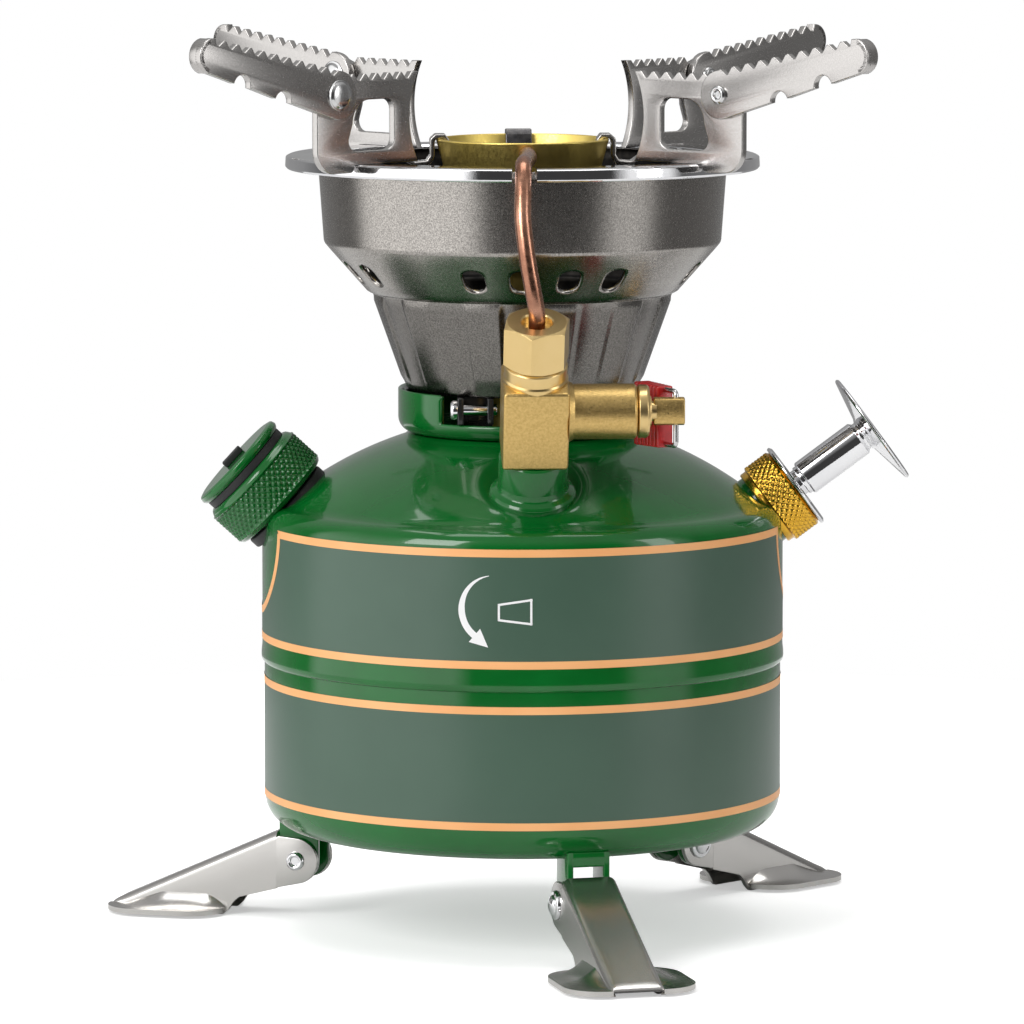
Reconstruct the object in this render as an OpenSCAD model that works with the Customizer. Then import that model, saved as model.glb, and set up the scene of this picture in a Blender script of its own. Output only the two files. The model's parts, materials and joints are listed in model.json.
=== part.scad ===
/* [Fuel tank] */
// Outer diameter of the upper tank shell
tank_d = 102.8; // [90:0.2:120]
// Sheet thickness of both tank shells
tank_wall = 0.8; // [0.5:0.1:1.4]
// Height of the tank's underside above the ground
tank_base_z = 20.4; // [18:0.2:24]
// Height of the lapped seam between the two shells
seam_z = 54; // [46:0.5:62]
// Height where the side wall starts to round into the shoulder
shoulder_z = 80.6; // [76:0.2:90]
// Radius of the shoulder corner
shoulder_r = 4; // [2:0.5:6]
// Spherical radius of the domed top
dome_r = 74.8; // [65:0.2:95]
// Height of the flat seat on top of the dome
dome_top_z = 98.5; // [95:0.5:101]
// Radius of the rounded bottom edge
base_corner_r = 6.5; // [3:0.5:9]
// Depth of the hollow pressed into the underside
base_dish_h = 2; // [0.5:0.5:4]

/* [Filler] */
// Upward tilt of the filler axis
filler_tilt = 42.5; // [30:0.5:55]
// Distance of the filler axis point from the tank axis
filler_x = 46.7; // [44:0.1:50]
// Height of the filler axis point
filler_z = 84.1; // [80:0.1:88]
// Outer diameter of the knurled filler cap
cap_d = 23; // [20:0.5:25]
// Length of the knurled filler cap
cap_h = 8; // [6:0.2:11]
// Outer diameter of the filler neck
filler_neck_d = 16.8; // [13:0.2:17.6]
// Diameter of the disc on top of the cap
cap_disc_d = 21.1; // [18:0.1:22]
// Pitch of the filler thread
filler_pitch = 1.5; // [1:0.25:2]

/* [Pump] */
// Upward tilt of the pump axis
pump_tilt = 36.5; // [30:0.5:50]
// Distance of the pump axis point from the tank axis
pump_x = 48.9; // [48:0.1:51]
// Height of the pump axis point
pump_z = 83.6; // [83:0.1:88]
// Diameter of the knurled collar nut
collar_d = 17.4; // [16.6:0.2:18]
// Length of the knurled collar nut
collar_h = 7.3; // [6:0.1:8]
// Diameter of the pump rod
rod_d = 5.4; // [4:0.1:6]
// Diameter of the handle sleeve
sleeve_d = 7.2; // [6.4:0.1:9]
// Diameter of the flared pump handle
handle_d = 23.8; // [18:0.2:28]
// Stroke of the pump from pushed in to pulled out
pump_stroke = 36; // [20:1:40]

/* [Valve] */
// Distance of the valve block's lower face from the tank axis
valve_r = 41; // [39:0.1:43]
// Forward lean of the valve axis, which stands square on the dome
valve_tilt = 23.5; // [18:0.5:28]
// Width of the square valve block
block_w = 12.6; // [11:0.1:14]
// Height of the valve block's lower face
block_z = 98.1; // [97:0.1:99]
// Height of the valve block
block_h = 16.6; // [14:0.1:19]
// Size of the tube nut across its flats
nut_af = 11.6; // [11:0.1:13]
// Height of the tube nut
nut_h = 8.7; // [8:0.1:11]
// Distance of the spindle axis from the block's lower face
spindle_s = 9.4; // [8.6:0.1:10]
// Diameter of the side arm
arm_d = 10.6; // [9:0.1:11.4]
// Diameter of the spindle shaft
spindle_d = 4; // [3.2:0.1:4.6]
// Diameter of the flattened spindle end
spindle_end_d = 5.4; // [4.8:0.1:6.4]
// Angle of the folded key away from the side arm
key_fold = 66; // [64:1:80]
// Diameter of the key's wire
key_wire_d = 1; // [0.8:0.1:1.4]
// Length of the key from its pivot
key_l = 14; // [12:0.5:18]

/* [Burner] */
// Outer radius of the seat under the bowl
seat_r = 24.5; // [24:0.1:28]
// Height of the seat
seat_h = 8.8; // [8.6:0.1:10]
// Sheet thickness of the bowl
bowl_wall = 0.8; // [0.6:0.1:1.2]
// Height of the bowl's flat bottom
bowl_z = 107; // [106:0.2:108]
// Radius of the bowl's bottom
bowl_base_r = 22.7; // [21.5:0.1:22.9]
// Radius of the bowl's upper wall at its crease
bowl_mid_r = 39.1; // [37:0.1:40]
// Radius of the bowl's upper wall at the rim
bowl_top_r = 40.2; // [39:0.1:42]
// Height of the bowl's top edge
bowl_top_z = 152.3; // [150:0.1:153]
// Outer radius of the rolled rim
rim_r = 46.5; // [44:0.1:48]
// Outside diameter of the vapour tube
tube_d = 3.2; // [2.6:0.1:3.4]
// Radius of the burner ring at its top edge
burner_r = 17.05; // [15:0.05:19]
// Height of the burner ring's top edge
burner_top_z = 156.3; // [155.6:0.1:158]

/* [Pot supports] */
// Sheet thickness of the fixed plates
stand_t = 1.5; // [1:0.1:2]
// Height of the plates' serrated top edge
stand_top_z = 170.5; // [168:0.1:172]
// Radial position of the arm rivets
arm_rivet_r = 52.7; // [51:0.1:53.5]
// Height of the arm rivets
arm_rivet_z = 166.7; // [166:0.1:167]
// Sheet thickness of the folding arms
arm_t = 1.6; // [1.2:0.1:2.2]
// Length of an arm from its rivet to its tip
arm_l = 37.5; // [32:0.5:40]
// Height of an arm at its rivet
arm_w = 9.4; // [8:0.2:10]
// Height of an arm at its tip
arm_tip_w = 6.8; // [6:0.2:8]
// Upward tilt of an arm that is folded out
arm_tilt = 12.5; // [8:0.5:15]
// Diameter of the arm rivets' shank
arm_rivet_d = 3; // [2.4:0.1:3.6]
// Spacing of the serrations
tooth_pitch = 3.1; // [2.4:0.1:3.6]
// Depth of the serrations
tooth_h = 1.2; // [0.5:0.1:1.4]

/* [Legs] */
// Azimuth of the front leg from the valve side
leg_turn = 12; // [-20:1:20]
// Radial position of the leg pivots
leg_pivot_r = 45.5; // [43:0.1:46.5]
// Height of the leg pivots
leg_pivot_z = 11.5; // [10.5:0.1:12.5]
// Radial reach of a leg from its pivot to its toe
leg_reach = 39; // [32:0.5:41]
// Outer width of a leg's channel
leg_w = 10.8; // [9.6:0.2:14]
// Sheet thickness of a leg
leg_t = 1; // [0.8:0.1:1.4]
// Width of each flared side of the sole
sole_flare = 7.5; // [4:0.5:8]
// Thickness of the sole
sole_t = 1.6; // [1:0.1:2]
// Diameter of the leg rivets' shank
leg_rivet_d = 3.2; // [2.6:0.1:4]

/* [Hidden] */
fine = 96;
// Finer steps for the wide tank curves
tank_fine = 240;
// Radial play of a shaft or pin in its bore
run_play = 0.05;
// Radial play of threaded pieces that turn
thread_play = 0.3;
// Gap at a brazed or pressed joint
braze_gap = 0.03;
// Side gap between flat faces that slide past each other
slide_gap = 0.2;

tank_r = tank_d / 2;
seam_step = 0.4;
lap_h = 5;
lower_r = tank_r - seam_step;
lap_r = tank_r - tank_wall - braze_gap;
dome_z = shoulder_z + shoulder_r - sqrt(pow(dome_r, 2) - pow(tank_r - shoulder_r, 2));
dish_r = 37;

filler_neck_r = filler_neck_d / 2;
filler_neck_top = 6.6;
cap_s = 2;
neck_ring_s = cap_s - thread_play;
neck_ring_foot_s = -1;
cap_r = cap_d / 2;
cap_bore_r = filler_neck_r + thread_play;
gasket_t = 1.2;
cap_top_s = cap_s + cap_h;
cap_seal_t = 1.7;
cap_disc_t = 1.9;
cap_disc_s = cap_top_s + cap_seal_t;

collar_s = -1.3;
collar_band_h = 1.3;
collar_r = collar_d / 2;
collar_end_s = collar_s + collar_h;
pump_neck_r = 7.4;
pump_neck_end_s = collar_end_s - 1.6;
barrel_r = 6.4;
barrel_wall = 0.8;
barrel_l = 58;
check_valve_h = 4;
cup_h = 2.5;
washer_t = 1;
washer_r = collar_r + 0.4;
washer_end_s = collar_end_s + washer_t;
sleeve_s = washer_end_s + 1.6;
sleeve_end_s = sleeve_s + 13.6;
handle_s = sleeve_end_s + 2.9;
handle_edge = 0.6;
sleeve_edge = 0.3;
rod_r = rod_d / 2;
tang_r = rod_r - 0.7;
tang_h = 6;
piston_s = check_valve_h + cup_h + 1.5 - barrel_l;

// Distance from the block's lower face to the dome, along the valve axis
valve_reach = valve_r * sin(valve_tilt) + (block_z - dome_z) * cos(valve_tilt);
valve_out = pow(valve_r, 2) + pow(block_z - dome_z, 2) - pow(dome_r, 2);
valve_base_s = sqrt(pow(valve_reach, 2) - valve_out) - valve_reach;
hollow_r = 31;
hollow_h = 2;
block_top_z = block_z + block_h;
neck_r = 6.1;
neck_h = 3.6;
nut_z = block_top_z + neck_h;
nut_top_z = nut_z + nut_h;
nut_turn = -11;
stub_r = 4.6;
stub_h = 4.4;
spigot_r = 4;
spigot_h = 11;
spigot_z = block_z - spigot_h;
pickup_r = 1.9;
pickup_z = block_z - (block_z - tank_base_z - 6) / cos(valve_tilt);
wick_h = 22;
boss_r = 6.7;
arm_end_x = 19.5;
gland_w = 2.4;
gland_r = arm_d / 2 - 0.2;
packing_r = 3.15;
spindle_r = spindle_d / 2;
spindle_y = -valve_r - spindle_s * sin(valve_tilt);
spindle_z = block_z + spindle_s * cos(valve_tilt);
spindle_end_x = arm_end_x + gland_w + 0.7;
spindle_tip_x = spindle_end_x + 6.9;
spindle_flat = 1.5;
key_x = spindle_end_x + 4.4;
key_wire_r = key_wire_d / 2;
key_drop = 1.5;
key_z = spindle_z - key_drop;
key_pin_h = spindle_end_d + 2 * (key_drop + key_wire_r + 0.5);
key_wide_h = key_pin_h + 0.2;
grip_s = 5;
grip_t = 3.4;

tube_r = tube_d / 2;
// Sideways bow of the tube between the nut and the rim
tube_bow = 2.4;
tube_run_z = burner_top_z - 2.3;
seat_wall = 1.2;
seat_corner_r = 3;
seat_top_z = dome_top_z + seat_h;
cone_top_r = 29.5;
cone_top_z = 126;
step_r = 30.5;
step_z = 126.4;
crease_z = 136;
stem_r = 6;
stem_wall = 1;
bowl_nut_h = 3.2;
bowl_nut_r = stem_r + 3.4;
jet_z = bowl_z + 5;
jet_h = 12;
jet_top_z = jet_z + jet_h;
flare_z = jet_top_z + 6;
flare_r = burner_r - 3.65;
flare_top_z = burner_top_z - 12.3;
lip_r = burner_r - 1.45;
lip_z = burner_top_z - 5.3;
flute_h = 0.35;
rim_roll_r = 1.1;
rim_t = 0.8;
rim_top_z = bowl_top_z + rim_t;
spreader_r = burner_r - 6.05;
spreader_t = 0.7;
spreader_z = burner_top_z - 6.5;
clamp_x = 10.2;
clamp_y = -18.2;
clamp_w = 7;
clamp_t = 1.2;
screw_r = 1.1;
clip_t = 0.9;
clip_w = 5.2;

stand_angles = [45, 134.5, 220.5, -47];
// Front arms stand a little steeper than rear arms
arm_tilts = [arm_tilt + 1.5, arm_tilt - 2.5, arm_tilt - 2.5, arm_tilt + 2];
arm_gap = 0.15;
arm_r = arm_w / 2;
arm_tip_r = arm_tip_w / 2;
arm_tip_x = arm_l - arm_tip_r;
arm_rivet_shank_r = arm_rivet_d / 2;
head_gap = 0.1;
head_t = 1;
return_t = 3.2;
stand_in_r = 29.7;
stand_out_r = 57;
hook_z = bowl_top_z - 0.7;
wide_head_r = 2 * arm_rivet_shank_r;
small_head_r = arm_rivet_shank_r + 0.3;

leg_angles = [leg_turn, leg_turn + 120, leg_turn - 120];
leg_rivet_r = leg_rivet_d / 2;
leg_head_r = leg_rivet_r + 0.9;
ear_t = 1.2;
ear_out = leg_w / 2 - leg_t - slide_gap;
leg_end_r = 4.6;
web_in = [4, 6.4];
web_out = [leg_reach, 2.3 - leg_pivot_z];
web_fall = (web_in[1] - web_out[1]) / (web_out[0] - web_in[0]);
web_drop = leg_t * sqrt(1 + web_fall * web_fall);
heel_x = 14.7;
lobe_x = heel_x + sole_flare;
lobe_l = max(leg_reach - 1.8 - heel_x - 2 * sole_flare, 1);

// Ground outline of the widest pieces, which centres the stove on its own footprint
leg_side = leg_w / 2;
left_x = (leg_pivot_r + leg_reach) * sin(leg_angles[2]) - leg_side * abs(cos(leg_angles[2]));
right_x = pump_x + handle_s * cos(pump_tilt) + handle_d / 2 * sin(pump_tilt);
front_y = -(leg_pivot_r + leg_reach) * cos(leg_turn) - leg_side * abs(sin(leg_turn));
back_y = (arm_rivet_r + arm_l - 0.5) * cos(180 - stand_angles[2]);
mid_x = (left_x + right_x) / 2;
mid_y = (front_y + back_y) / 2;

// Moves a piece from the tank axis to the shared origin
module placed() {
    translate([-mid_x, -mid_y, 0]) children();
}

// Turns local +X to an azimuth that counts from the valve side towards the pump
module radial(a) {
    rotate([0, 0, a - 90]) children();
}

// Local +Z runs out along the filler axis
module on_filler() {
    translate([-filler_x, 0, filler_z]) rotate([0, filler_tilt - 90, 0]) children();
}

// Local +Z runs out along the pump axis
module on_pump() {
    translate([pump_x, 0, pump_z]) rotate([0, 90 - pump_tilt, 0]) children();
}

// Local Z runs along the leaning valve axis and counts as height at the block's lower face
module on_valve() {
    translate([0, -valve_r, block_z]) rotate([valve_tilt, 0, 0]) translate([0, 0, -block_z]) children();
}

// Local +Z runs along the spindle towards the key
module on_spindle() {
    translate([0, spindle_y, spindle_z]) rotate([0, 90, 0]) children();
}

module ring(r_out, r_in, h) {
    difference() {
        cylinder(r = r_out, h = h, $fn = fine);
        translate([0, 0, -1]) cylinder(r = r_in, h = h + 2, $fn = fine);
    }
}

module lower_outline(inset) {
    corner = base_corner_r;
    translate([0, tank_base_z + corner]) square([lower_r - inset, seam_z - tank_base_z - corner]);
    translate([0, tank_base_z + inset]) square([lower_r - corner, corner + 1]);
    translate([lower_r - corner, tank_base_z + corner]) circle(r = corner - inset, $fn = fine);
    translate([0, seam_z - 1]) square([lap_r - inset, lap_h + 1 + inset]);
}

module lower_solid(inset) {
    difference() {
        rotate_extrude($fn = tank_fine) lower_outline(inset);
        translate([0, 0, tank_base_z + inset - 1])
            cylinder(r1 = dish_r + 1 + inset, r2 = dish_r - base_dish_h, h = base_dish_h + 1, $fn = fine);
    }
}

module upper_outline(inset) {
    in_r = tank_r - shoulder_r;
    translate([0, seam_z - inset]) square([tank_r - inset, shoulder_z - seam_z + inset]);
    translate([0, seam_z - inset]) square([in_r, shoulder_z + shoulder_r - seam_z]);
    translate([in_r, shoulder_z]) circle(r = shoulder_r - inset, $fn = tank_fine);
    intersection() {
        translate([0, dome_z]) circle(r = dome_r - inset, $fn = tank_fine);
        translate([0, seam_z]) square([in_r, dome_top_z - inset - seam_z]);
    }
}

// The shoulder has a round hollow under the valve and a flat under the pump's collar nut
module upper_solid(inset) {
    difference() {
        rotate_extrude($fn = tank_fine) upper_outline(inset);
        on_valve() translate([0, 0, block_z + valve_base_s - hollow_h + hollow_r])
            sphere(r = hollow_r + inset, $fn = fine);
        on_pump() translate([0, 0, collar_s - 0.3 - inset])
            cylinder(r = collar_r + 0.6 + inset, h = 30, $fn = fine);
    }
}

module tank_lower_shell() {
    color("darkgreen") difference() {
        lower_solid(0);
        lower_solid(tank_wall);
    }
}

module tank_upper_shell() {
    color("darkgreen") difference() {
        upper_solid(0);
        upper_solid(tank_wall);
        on_filler() translate([0, 0, -15]) cylinder(r = filler_neck_r + braze_gap, h = 30, $fn = fine);
        on_pump() translate([0, 0, -15]) cylinder(r = pump_neck_r + braze_gap, h = 30, $fn = fine);
        on_valve() translate([0, 0, block_z - 20]) cylinder(r = spigot_r + 1, h = 20, $fn = fine);
    }
}

module filler_neck() {
    color("darkgreen") on_filler() translate([0, 0, -8])
        ring(filler_neck_r, filler_neck_r - 1.8, filler_neck_top + 8);
}

module filler_neck_ring() {
    color("black") difference() {
        on_filler() translate([0, 0, neck_ring_foot_s])
            ring(filler_neck_r + 1.3, filler_neck_r + braze_gap, neck_ring_s - neck_ring_foot_s);
        upper_solid(-braze_gap);
    }
}

module filler_gasket() {
    color("black") on_filler() translate([0, 0, filler_neck_top + 0.05])
        ring(filler_neck_r - 0.1, 4.5, gasket_t);
}

module filler_cap() {
    inner_top = filler_neck_top + gasket_t + 0.1;
    chamfer = 0.8;
    color("darkgreen") on_filler() difference() {
        rotate_extrude($fn = fine) polygon([
            [0, cap_s], [cap_r - chamfer, cap_s], [cap_r, cap_s + chamfer],
            [cap_r, cap_top_s - chamfer], [cap_r - chamfer, cap_top_s], [0, cap_top_s]
        ]);
        translate([0, 0, cap_s - 1]) cylinder(r = cap_bore_r, h = inner_top - cap_s + 1, $fn = fine);
    }
}

module filler_cap_seal() {
    color("black") on_filler() translate([0, 0, cap_top_s])
        cylinder(r = cap_disc_d / 2 - 0.6, h = cap_seal_t, $fn = fine);
}

module filler_cap_disc() {
    r = cap_disc_d / 2;
    color("darkgreen") on_filler() rotate_extrude($fn = fine) polygon([
        [0, cap_disc_s], [r - 0.5, cap_disc_s], [r, cap_disc_s + 0.6],
        [r, cap_disc_s + 1], [r - 0.9, cap_disc_s + cap_disc_t], [0, cap_disc_s + cap_disc_t]
    ]);
}

module filler_cap_tab() {
    color("black") on_filler() translate([-2.35, -1, cap_disc_s + cap_disc_t]) cube([4.7, 2, 1.3]);
}

module pump_neck() {
    color("darkgreen") on_pump() translate([0, 0, -9])
        ring(pump_neck_r, barrel_r + braze_gap, pump_neck_end_s + 9);
}

module pump_barrel() {
    color("gold") on_pump() translate([0, 0, -barrel_l])
        ring(barrel_r, barrel_r - barrel_wall, barrel_l + pump_neck_end_s);
}

module pump_check_valve() {
    color("gold") on_pump() translate([0, 0, -barrel_l]) ring(barrel_r - barrel_wall, 1, check_valve_h);
}

module pump_collar_nut() {
    chamfer = 0.6;
    color("goldenrod") on_pump() difference() {
        rotate_extrude($fn = fine) polygon([
            [0, collar_s], [collar_r - chamfer, collar_s], [collar_r - chamfer, collar_s + collar_band_h],
            [collar_r, collar_s + collar_band_h + chamfer / 2], [collar_r, collar_end_s - chamfer],
            [collar_r - chamfer, collar_end_s], [0, collar_end_s]
        ]);
        translate([0, 0, collar_s - 1])
            cylinder(r = pump_neck_r + braze_gap, h = pump_neck_end_s - collar_s + 1, $fn = fine);
        translate([0, 0, collar_s]) cylinder(r = rod_r + 0.6, h = collar_h + 1, $fn = fine);
    }
}

module pump_washer() {
    color("silver") on_pump() translate([0, 0, collar_end_s])
        ring(washer_r, rod_r + run_play, washer_t);
}

module pump_rod() {
    color("silver") on_pump() {
        translate([0, 0, piston_s]) cylinder(r = rod_r, h = sleeve_s - piston_s, $fn = fine);
        translate([0, 0, sleeve_s - 1]) cylinder(r = tang_r, h = tang_h + 1, $fn = fine);
    }
}

module pump_cup() {
    color("saddlebrown") on_pump() translate([0, 0, piston_s - cup_h])
        cylinder(r = barrel_r - barrel_wall - run_play, h = cup_h, $fn = fine);
}

module pump_handle() {
    r = handle_d / 2;
    sleeve_r = sleeve_d / 2;
    edge = sleeve_edge;
    cone_s = handle_s - 2;
    color("silver") on_pump() difference() {
        rotate_extrude($fn = fine) polygon([
            [0, sleeve_s], [sleeve_r - edge, sleeve_s], [sleeve_r, sleeve_s + edge],
            [sleeve_r, sleeve_end_s - edge], [sleeve_r - edge, sleeve_end_s],
            [sleeve_r - 2 * edge, sleeve_end_s + edge], [sleeve_r - 2 * edge, cone_s],
            [r - edge, handle_s - handle_edge / 2], [r, handle_s], [r, handle_s + handle_edge / 2],
            [r - edge, handle_s + handle_edge], [r - 2, handle_s + handle_edge], [0, cone_s + 2 * handle_edge]
        ]);
        translate([0, 0, sleeve_s - 1]) cylinder(r = tang_r + braze_gap, h = tang_h + 1, $fn = fine);
    }
}

module valve_boss() {
    color("darkgreen") difference() {
        on_valve() rotate_extrude($fn = fine) polygon([
            [spigot_r + braze_gap, block_z - 14], [boss_r + 1.6, block_z - 14], [boss_r + 1.6, block_z - 8.2],
            [boss_r + 1.2, block_z - 7.7], [boss_r + 0.4, block_z - 7], [boss_r + 0.1, block_z - 5.5],
            [boss_r, block_z - 3], [boss_r, block_z - 0.5], [boss_r - 0.5, block_z],
            [spigot_r + braze_gap, block_z]
        ]);
        upper_solid(-braze_gap);
    }
}

module pickup_tube() {
    color("peru") on_valve() translate([0, 0, pickup_z]) ring(pickup_r, pickup_r - 0.7, spigot_z - pickup_z);
}

module pickup_wick() {
    color("ivory") on_valve() translate([0, 0, pickup_z]) ring(pickup_r + 1.1, pickup_r + braze_gap, wick_h);
}

module valve_body() {
    w = block_w / 2;
    color("goldenrod") difference() {
        union() {
            on_valve() translate([-w, -w, block_z]) cube([block_w, block_w, block_h]);
            on_valve() translate([0, 0, block_top_z - 1]) cylinder(r = neck_r, h = neck_h + 1, $fn = fine);
            on_valve() translate([0, 0, nut_z - 1]) cylinder(r = stub_r, h = stub_h + 1, $fn = fine);
            on_valve() translate([0, 0, spigot_z]) cylinder(r = spigot_r, h = spigot_h + 1, $fn = fine);
            on_spindle() cylinder(r = arm_d / 2, h = arm_end_x, $fn = fine);
        }
        on_valve() translate([0, 0, spigot_z - 1]) cylinder(r = 1.4, h = 50, $fn = fine);
        on_spindle() cylinder(r = spindle_r + run_play, h = arm_end_x + 1, $fn = fine);
        on_spindle() translate([0, 0, arm_end_x - 5.5])
            cylinder(r = packing_r + braze_gap, h = 6.5, $fn = fine);
    }
}

module tube_nut() {
    corner_r = nut_af / 2 / cos(30);
    color("gold") on_valve() difference() {
        intersection() {
            translate([0, 0, nut_z]) rotate([0, 0, nut_turn - 90]) linear_extrude(nut_h)
                polygon([for (i = [0:5]) [corner_r * cos(60 * i), corner_r * sin(60 * i)]]);
            rotate_extrude($fn = fine) polygon([
                [0, nut_z], [corner_r - 0.6, nut_z], [corner_r + 0.5, nut_z + 1.1],
                [corner_r + 0.5, nut_top_z - 1.2], [nut_af / 2 - 0.4, nut_top_z], [0, nut_top_z]
            ]);
        }
        translate([0, 0, nut_z - 1]) cylinder(r = stub_r + braze_gap, h = stub_h + 1.4, $fn = fine);
        translate([0, 0, nut_z]) cylinder(r = 3.1, h = nut_h + 1, $fn = fine);
    }
}

module tube_ferrule() {
    color("gold") on_valve() translate([0, 0, nut_z + stub_h + 0.4])
        ring(3.1 - braze_gap, tube_r + braze_gap, 2.4);
}

module gland_nut() {
    color("gold") on_spindle() difference() {
        union() {
            translate([0, 0, arm_end_x]) cylinder(r = gland_r, h = gland_w, $fn = fine);
            translate([0, 0, arm_end_x - 1.4]) cylinder(r = packing_r, h = 2, $fn = fine);
        }
        translate([0, 0, arm_end_x - 3]) cylinder(r = spindle_r + run_play, h = gland_w + 5, $fn = fine);
    }
}

module gland_packing() {
    color("dimgray") on_spindle() translate([0, 0, arm_end_x - 5.4])
        ring(packing_r, spindle_r + run_play, 3.9);
}

module valve_spindle() {
    r = spindle_end_d / 2;
    color("gold") difference() {
        on_spindle() union() {
            translate([0, 0, 2]) cylinder(r1 = 0.5, r2 = spindle_r, h = 3, $fn = fine);
            translate([0, 0, 5]) cylinder(r = spindle_r, h = spindle_end_x - 5, $fn = fine);
            translate([0, 0, spindle_end_x]) cylinder(r = r, h = spindle_tip_x - spindle_end_x, $fn = fine);
        }
        translate([spindle_end_x + 0.8, spindle_y - spindle_flat - r, spindle_z - r]) cube([8, r, 2 * r]);
        translate([key_x, spindle_y, spindle_z - 5]) cylinder(r = key_wire_r + run_play, h = 10, $fn = fine);
    }
}

// Local X runs along the key from its pivot, local Z is up
module on_key() {
    translate([key_x, spindle_y, key_z]) rotate([0, 0, 180 - key_fold]) children();
}

module wire(p, q) {
    v = q - p;
    l = norm(v);
    translate(p) rotate([0, acos(v[2] / l), atan2(v[1], v[0])]) cylinder(r = key_wire_r, h = l, $fn = fine);
    translate(q) sphere(r = key_wire_r * 1.15, $fn = fine);
}

module key_wire() {
    a = key_pin_h / 2;
    b = key_wide_h / 2;
    color("silver") on_key() {
        wire([0, 0, -a], [0, 0, a]);
        wire([0, 0, a], [key_l, 0, b]);
        wire([key_l, 0, b], [key_l, 0, -b]);
        wire([key_l, 0, -b], [0, 0, -a]);
    }
}

module key_grip() {
    h = key_wide_h + 1.6;
    pitch = 1.35;
    count = floor((key_l - grip_s) / pitch);
    color("red") difference() {
        on_key() for (i = [0:count]) translate([grip_s + i * pitch, 0, -h / 2])
            linear_extrude(h) translate([-pitch / 2, -grip_t / 2]) {
                translate([0, 0.5]) square([pitch, grip_t - 1]);
                translate([pitch / 2, 0.7]) circle(r = 0.7, $fn = 24);
                translate([pitch / 2, grip_t - 0.7]) circle(r = 0.7, $fn = 24);
            }
        key_wire();
    }
}

// Point on the valve axis at a height in the valve's own frame
function on_axis(z) = [0, -valve_r - (z - block_z) * sin(valve_tilt), block_z + (z - block_z) * cos(valve_tilt)];

function tube_path() =
    let (
        foot = on_axis(nut_top_z + 1),
        rise = tube_run_z - foot[2],
        rim_y = -rim_r,
        run_z = tube_run_z,
        bow = tube_bow
    ) [
        on_axis(nut_z + stub_h + 0.2), on_axis(nut_top_z - 1), foot,
        foot + [-0.15 * bow, -0.9, 0.09 * rise], foot + [-0.4 * bow, -1.4, 0.2 * rise],
        foot + [-0.7 * bow, -1.3, 0.34 * rise], foot + [-0.95 * bow, -0.4, 0.5 * rise],
        foot + [-1.1 * bow, 1.1, 0.66 * rise], foot + [-1.05 * bow, 3, 0.8 * rise],
        [-bow, rim_y - 1.9, run_z - 3.1], [-0.95 * bow, rim_y - 0.2, run_z - 1.2],
        [-0.9 * bow, rim_y + 2, run_z - 0.3], [-0.75 * bow, rim_y + 5, run_z],
        [-0.3 * bow, rim_y + 14, run_z], [-0.06 * bow, rim_y + 21, run_z], [0, rim_y + 25, run_z],
        [0, -13, run_z - 0.1], [0, -8, run_z - 1], [0, -4, run_z - 3.4], [0, -1.2, run_z - 7],
        [0, 0, run_z - 12], [0, 0, (run_z - 12 + jet_top_z) / 2], [0, 0, jet_top_z]
    ];

function unit(v) = v / norm(v);

// One ring of points around each point of a route that never runs along X
function sweep_rings(path, r, sides) = [
    for (i = [0:len(path) - 1])
        let (
            t = unit(path[min(i + 1, len(path) - 1)] - path[max(i - 1, 0)]),
            u = unit([1, 0, 0] - t[0] * t),
            v = cross(t, u)
        )
        for (k = [0:sides - 1]) path[i] + r * (cos(360 * k / sides) * u + sin(360 * k / sides) * v)
];

module sweep(path, r, sides) {
    n = len(path);
    last = (n - 1) * sides;
    sides_faces = [
        for (i = [0:n - 2]) for (k = [0:sides - 1])
            let (j = (k + 1) % sides)
            [i * sides + k, (i + 1) * sides + k, (i + 1) * sides + j, i * sides + j]
    ];
    caps = [[for (k = [0:sides - 1]) k], [for (k = [0:sides - 1]) last + sides - 1 - k]];
    polyhedron(points = sweep_rings(path, r, sides), faces = concat(sides_faces, caps), convexity = 6);
}

module vapour_tube() {
    color("chocolate") sweep(tube_path(), tube_r, 12);
}

module seat_outline(inset) {
    translate([0, dome_top_z + inset]) square([seat_r - seat_corner_r, seat_corner_r]);
    translate([seat_r - seat_corner_r, dome_top_z + seat_corner_r])
        circle(r = seat_corner_r - inset, $fn = fine);
    translate([0, dome_top_z + seat_corner_r]) square([seat_r - inset, seat_h - seat_corner_r + inset]);
}

module burner_seat() {
    color("darkgreen") difference() {
        rotate_extrude($fn = fine) seat_outline(0);
        rotate_extrude($fn = fine) seat_outline(seat_wall);
        translate([-17, -seat_r - 1, dome_top_z + 3.2]) cube([34, seat_r, seat_h]);
        upper_solid(-braze_gap);
    }
}

function bowl_outer(inset) = [
    [0, bowl_z + inset], [bowl_base_r - inset, bowl_z + inset], [cone_top_r - inset, cone_top_z],
    [step_r - inset, step_z + 0.4 * inset], [bowl_mid_r - 1.2 - inset, crease_z - 1.3 + 0.5 * inset],
    [bowl_mid_r - 0.3 - inset, crease_z - 0.2], [bowl_mid_r - inset, crease_z + 1],
    [bowl_top_r - inset, bowl_top_z + inset], [0, bowl_top_z + inset]
];

module bowl_hole(a) {
    radial(a) translate([(step_r + bowl_mid_r) / 2, 0, (step_z + crease_z) / 2]) rotate([0, 132, 0]) {
        for (s = [-0.8, 0.8]) translate([s, 0, -3]) cylinder(r = 2.2, h = 6, $fn = fine);
        translate([-0.8, -2.2, -3]) cube([1.6, 4.4, 6]);
    }
}

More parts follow.
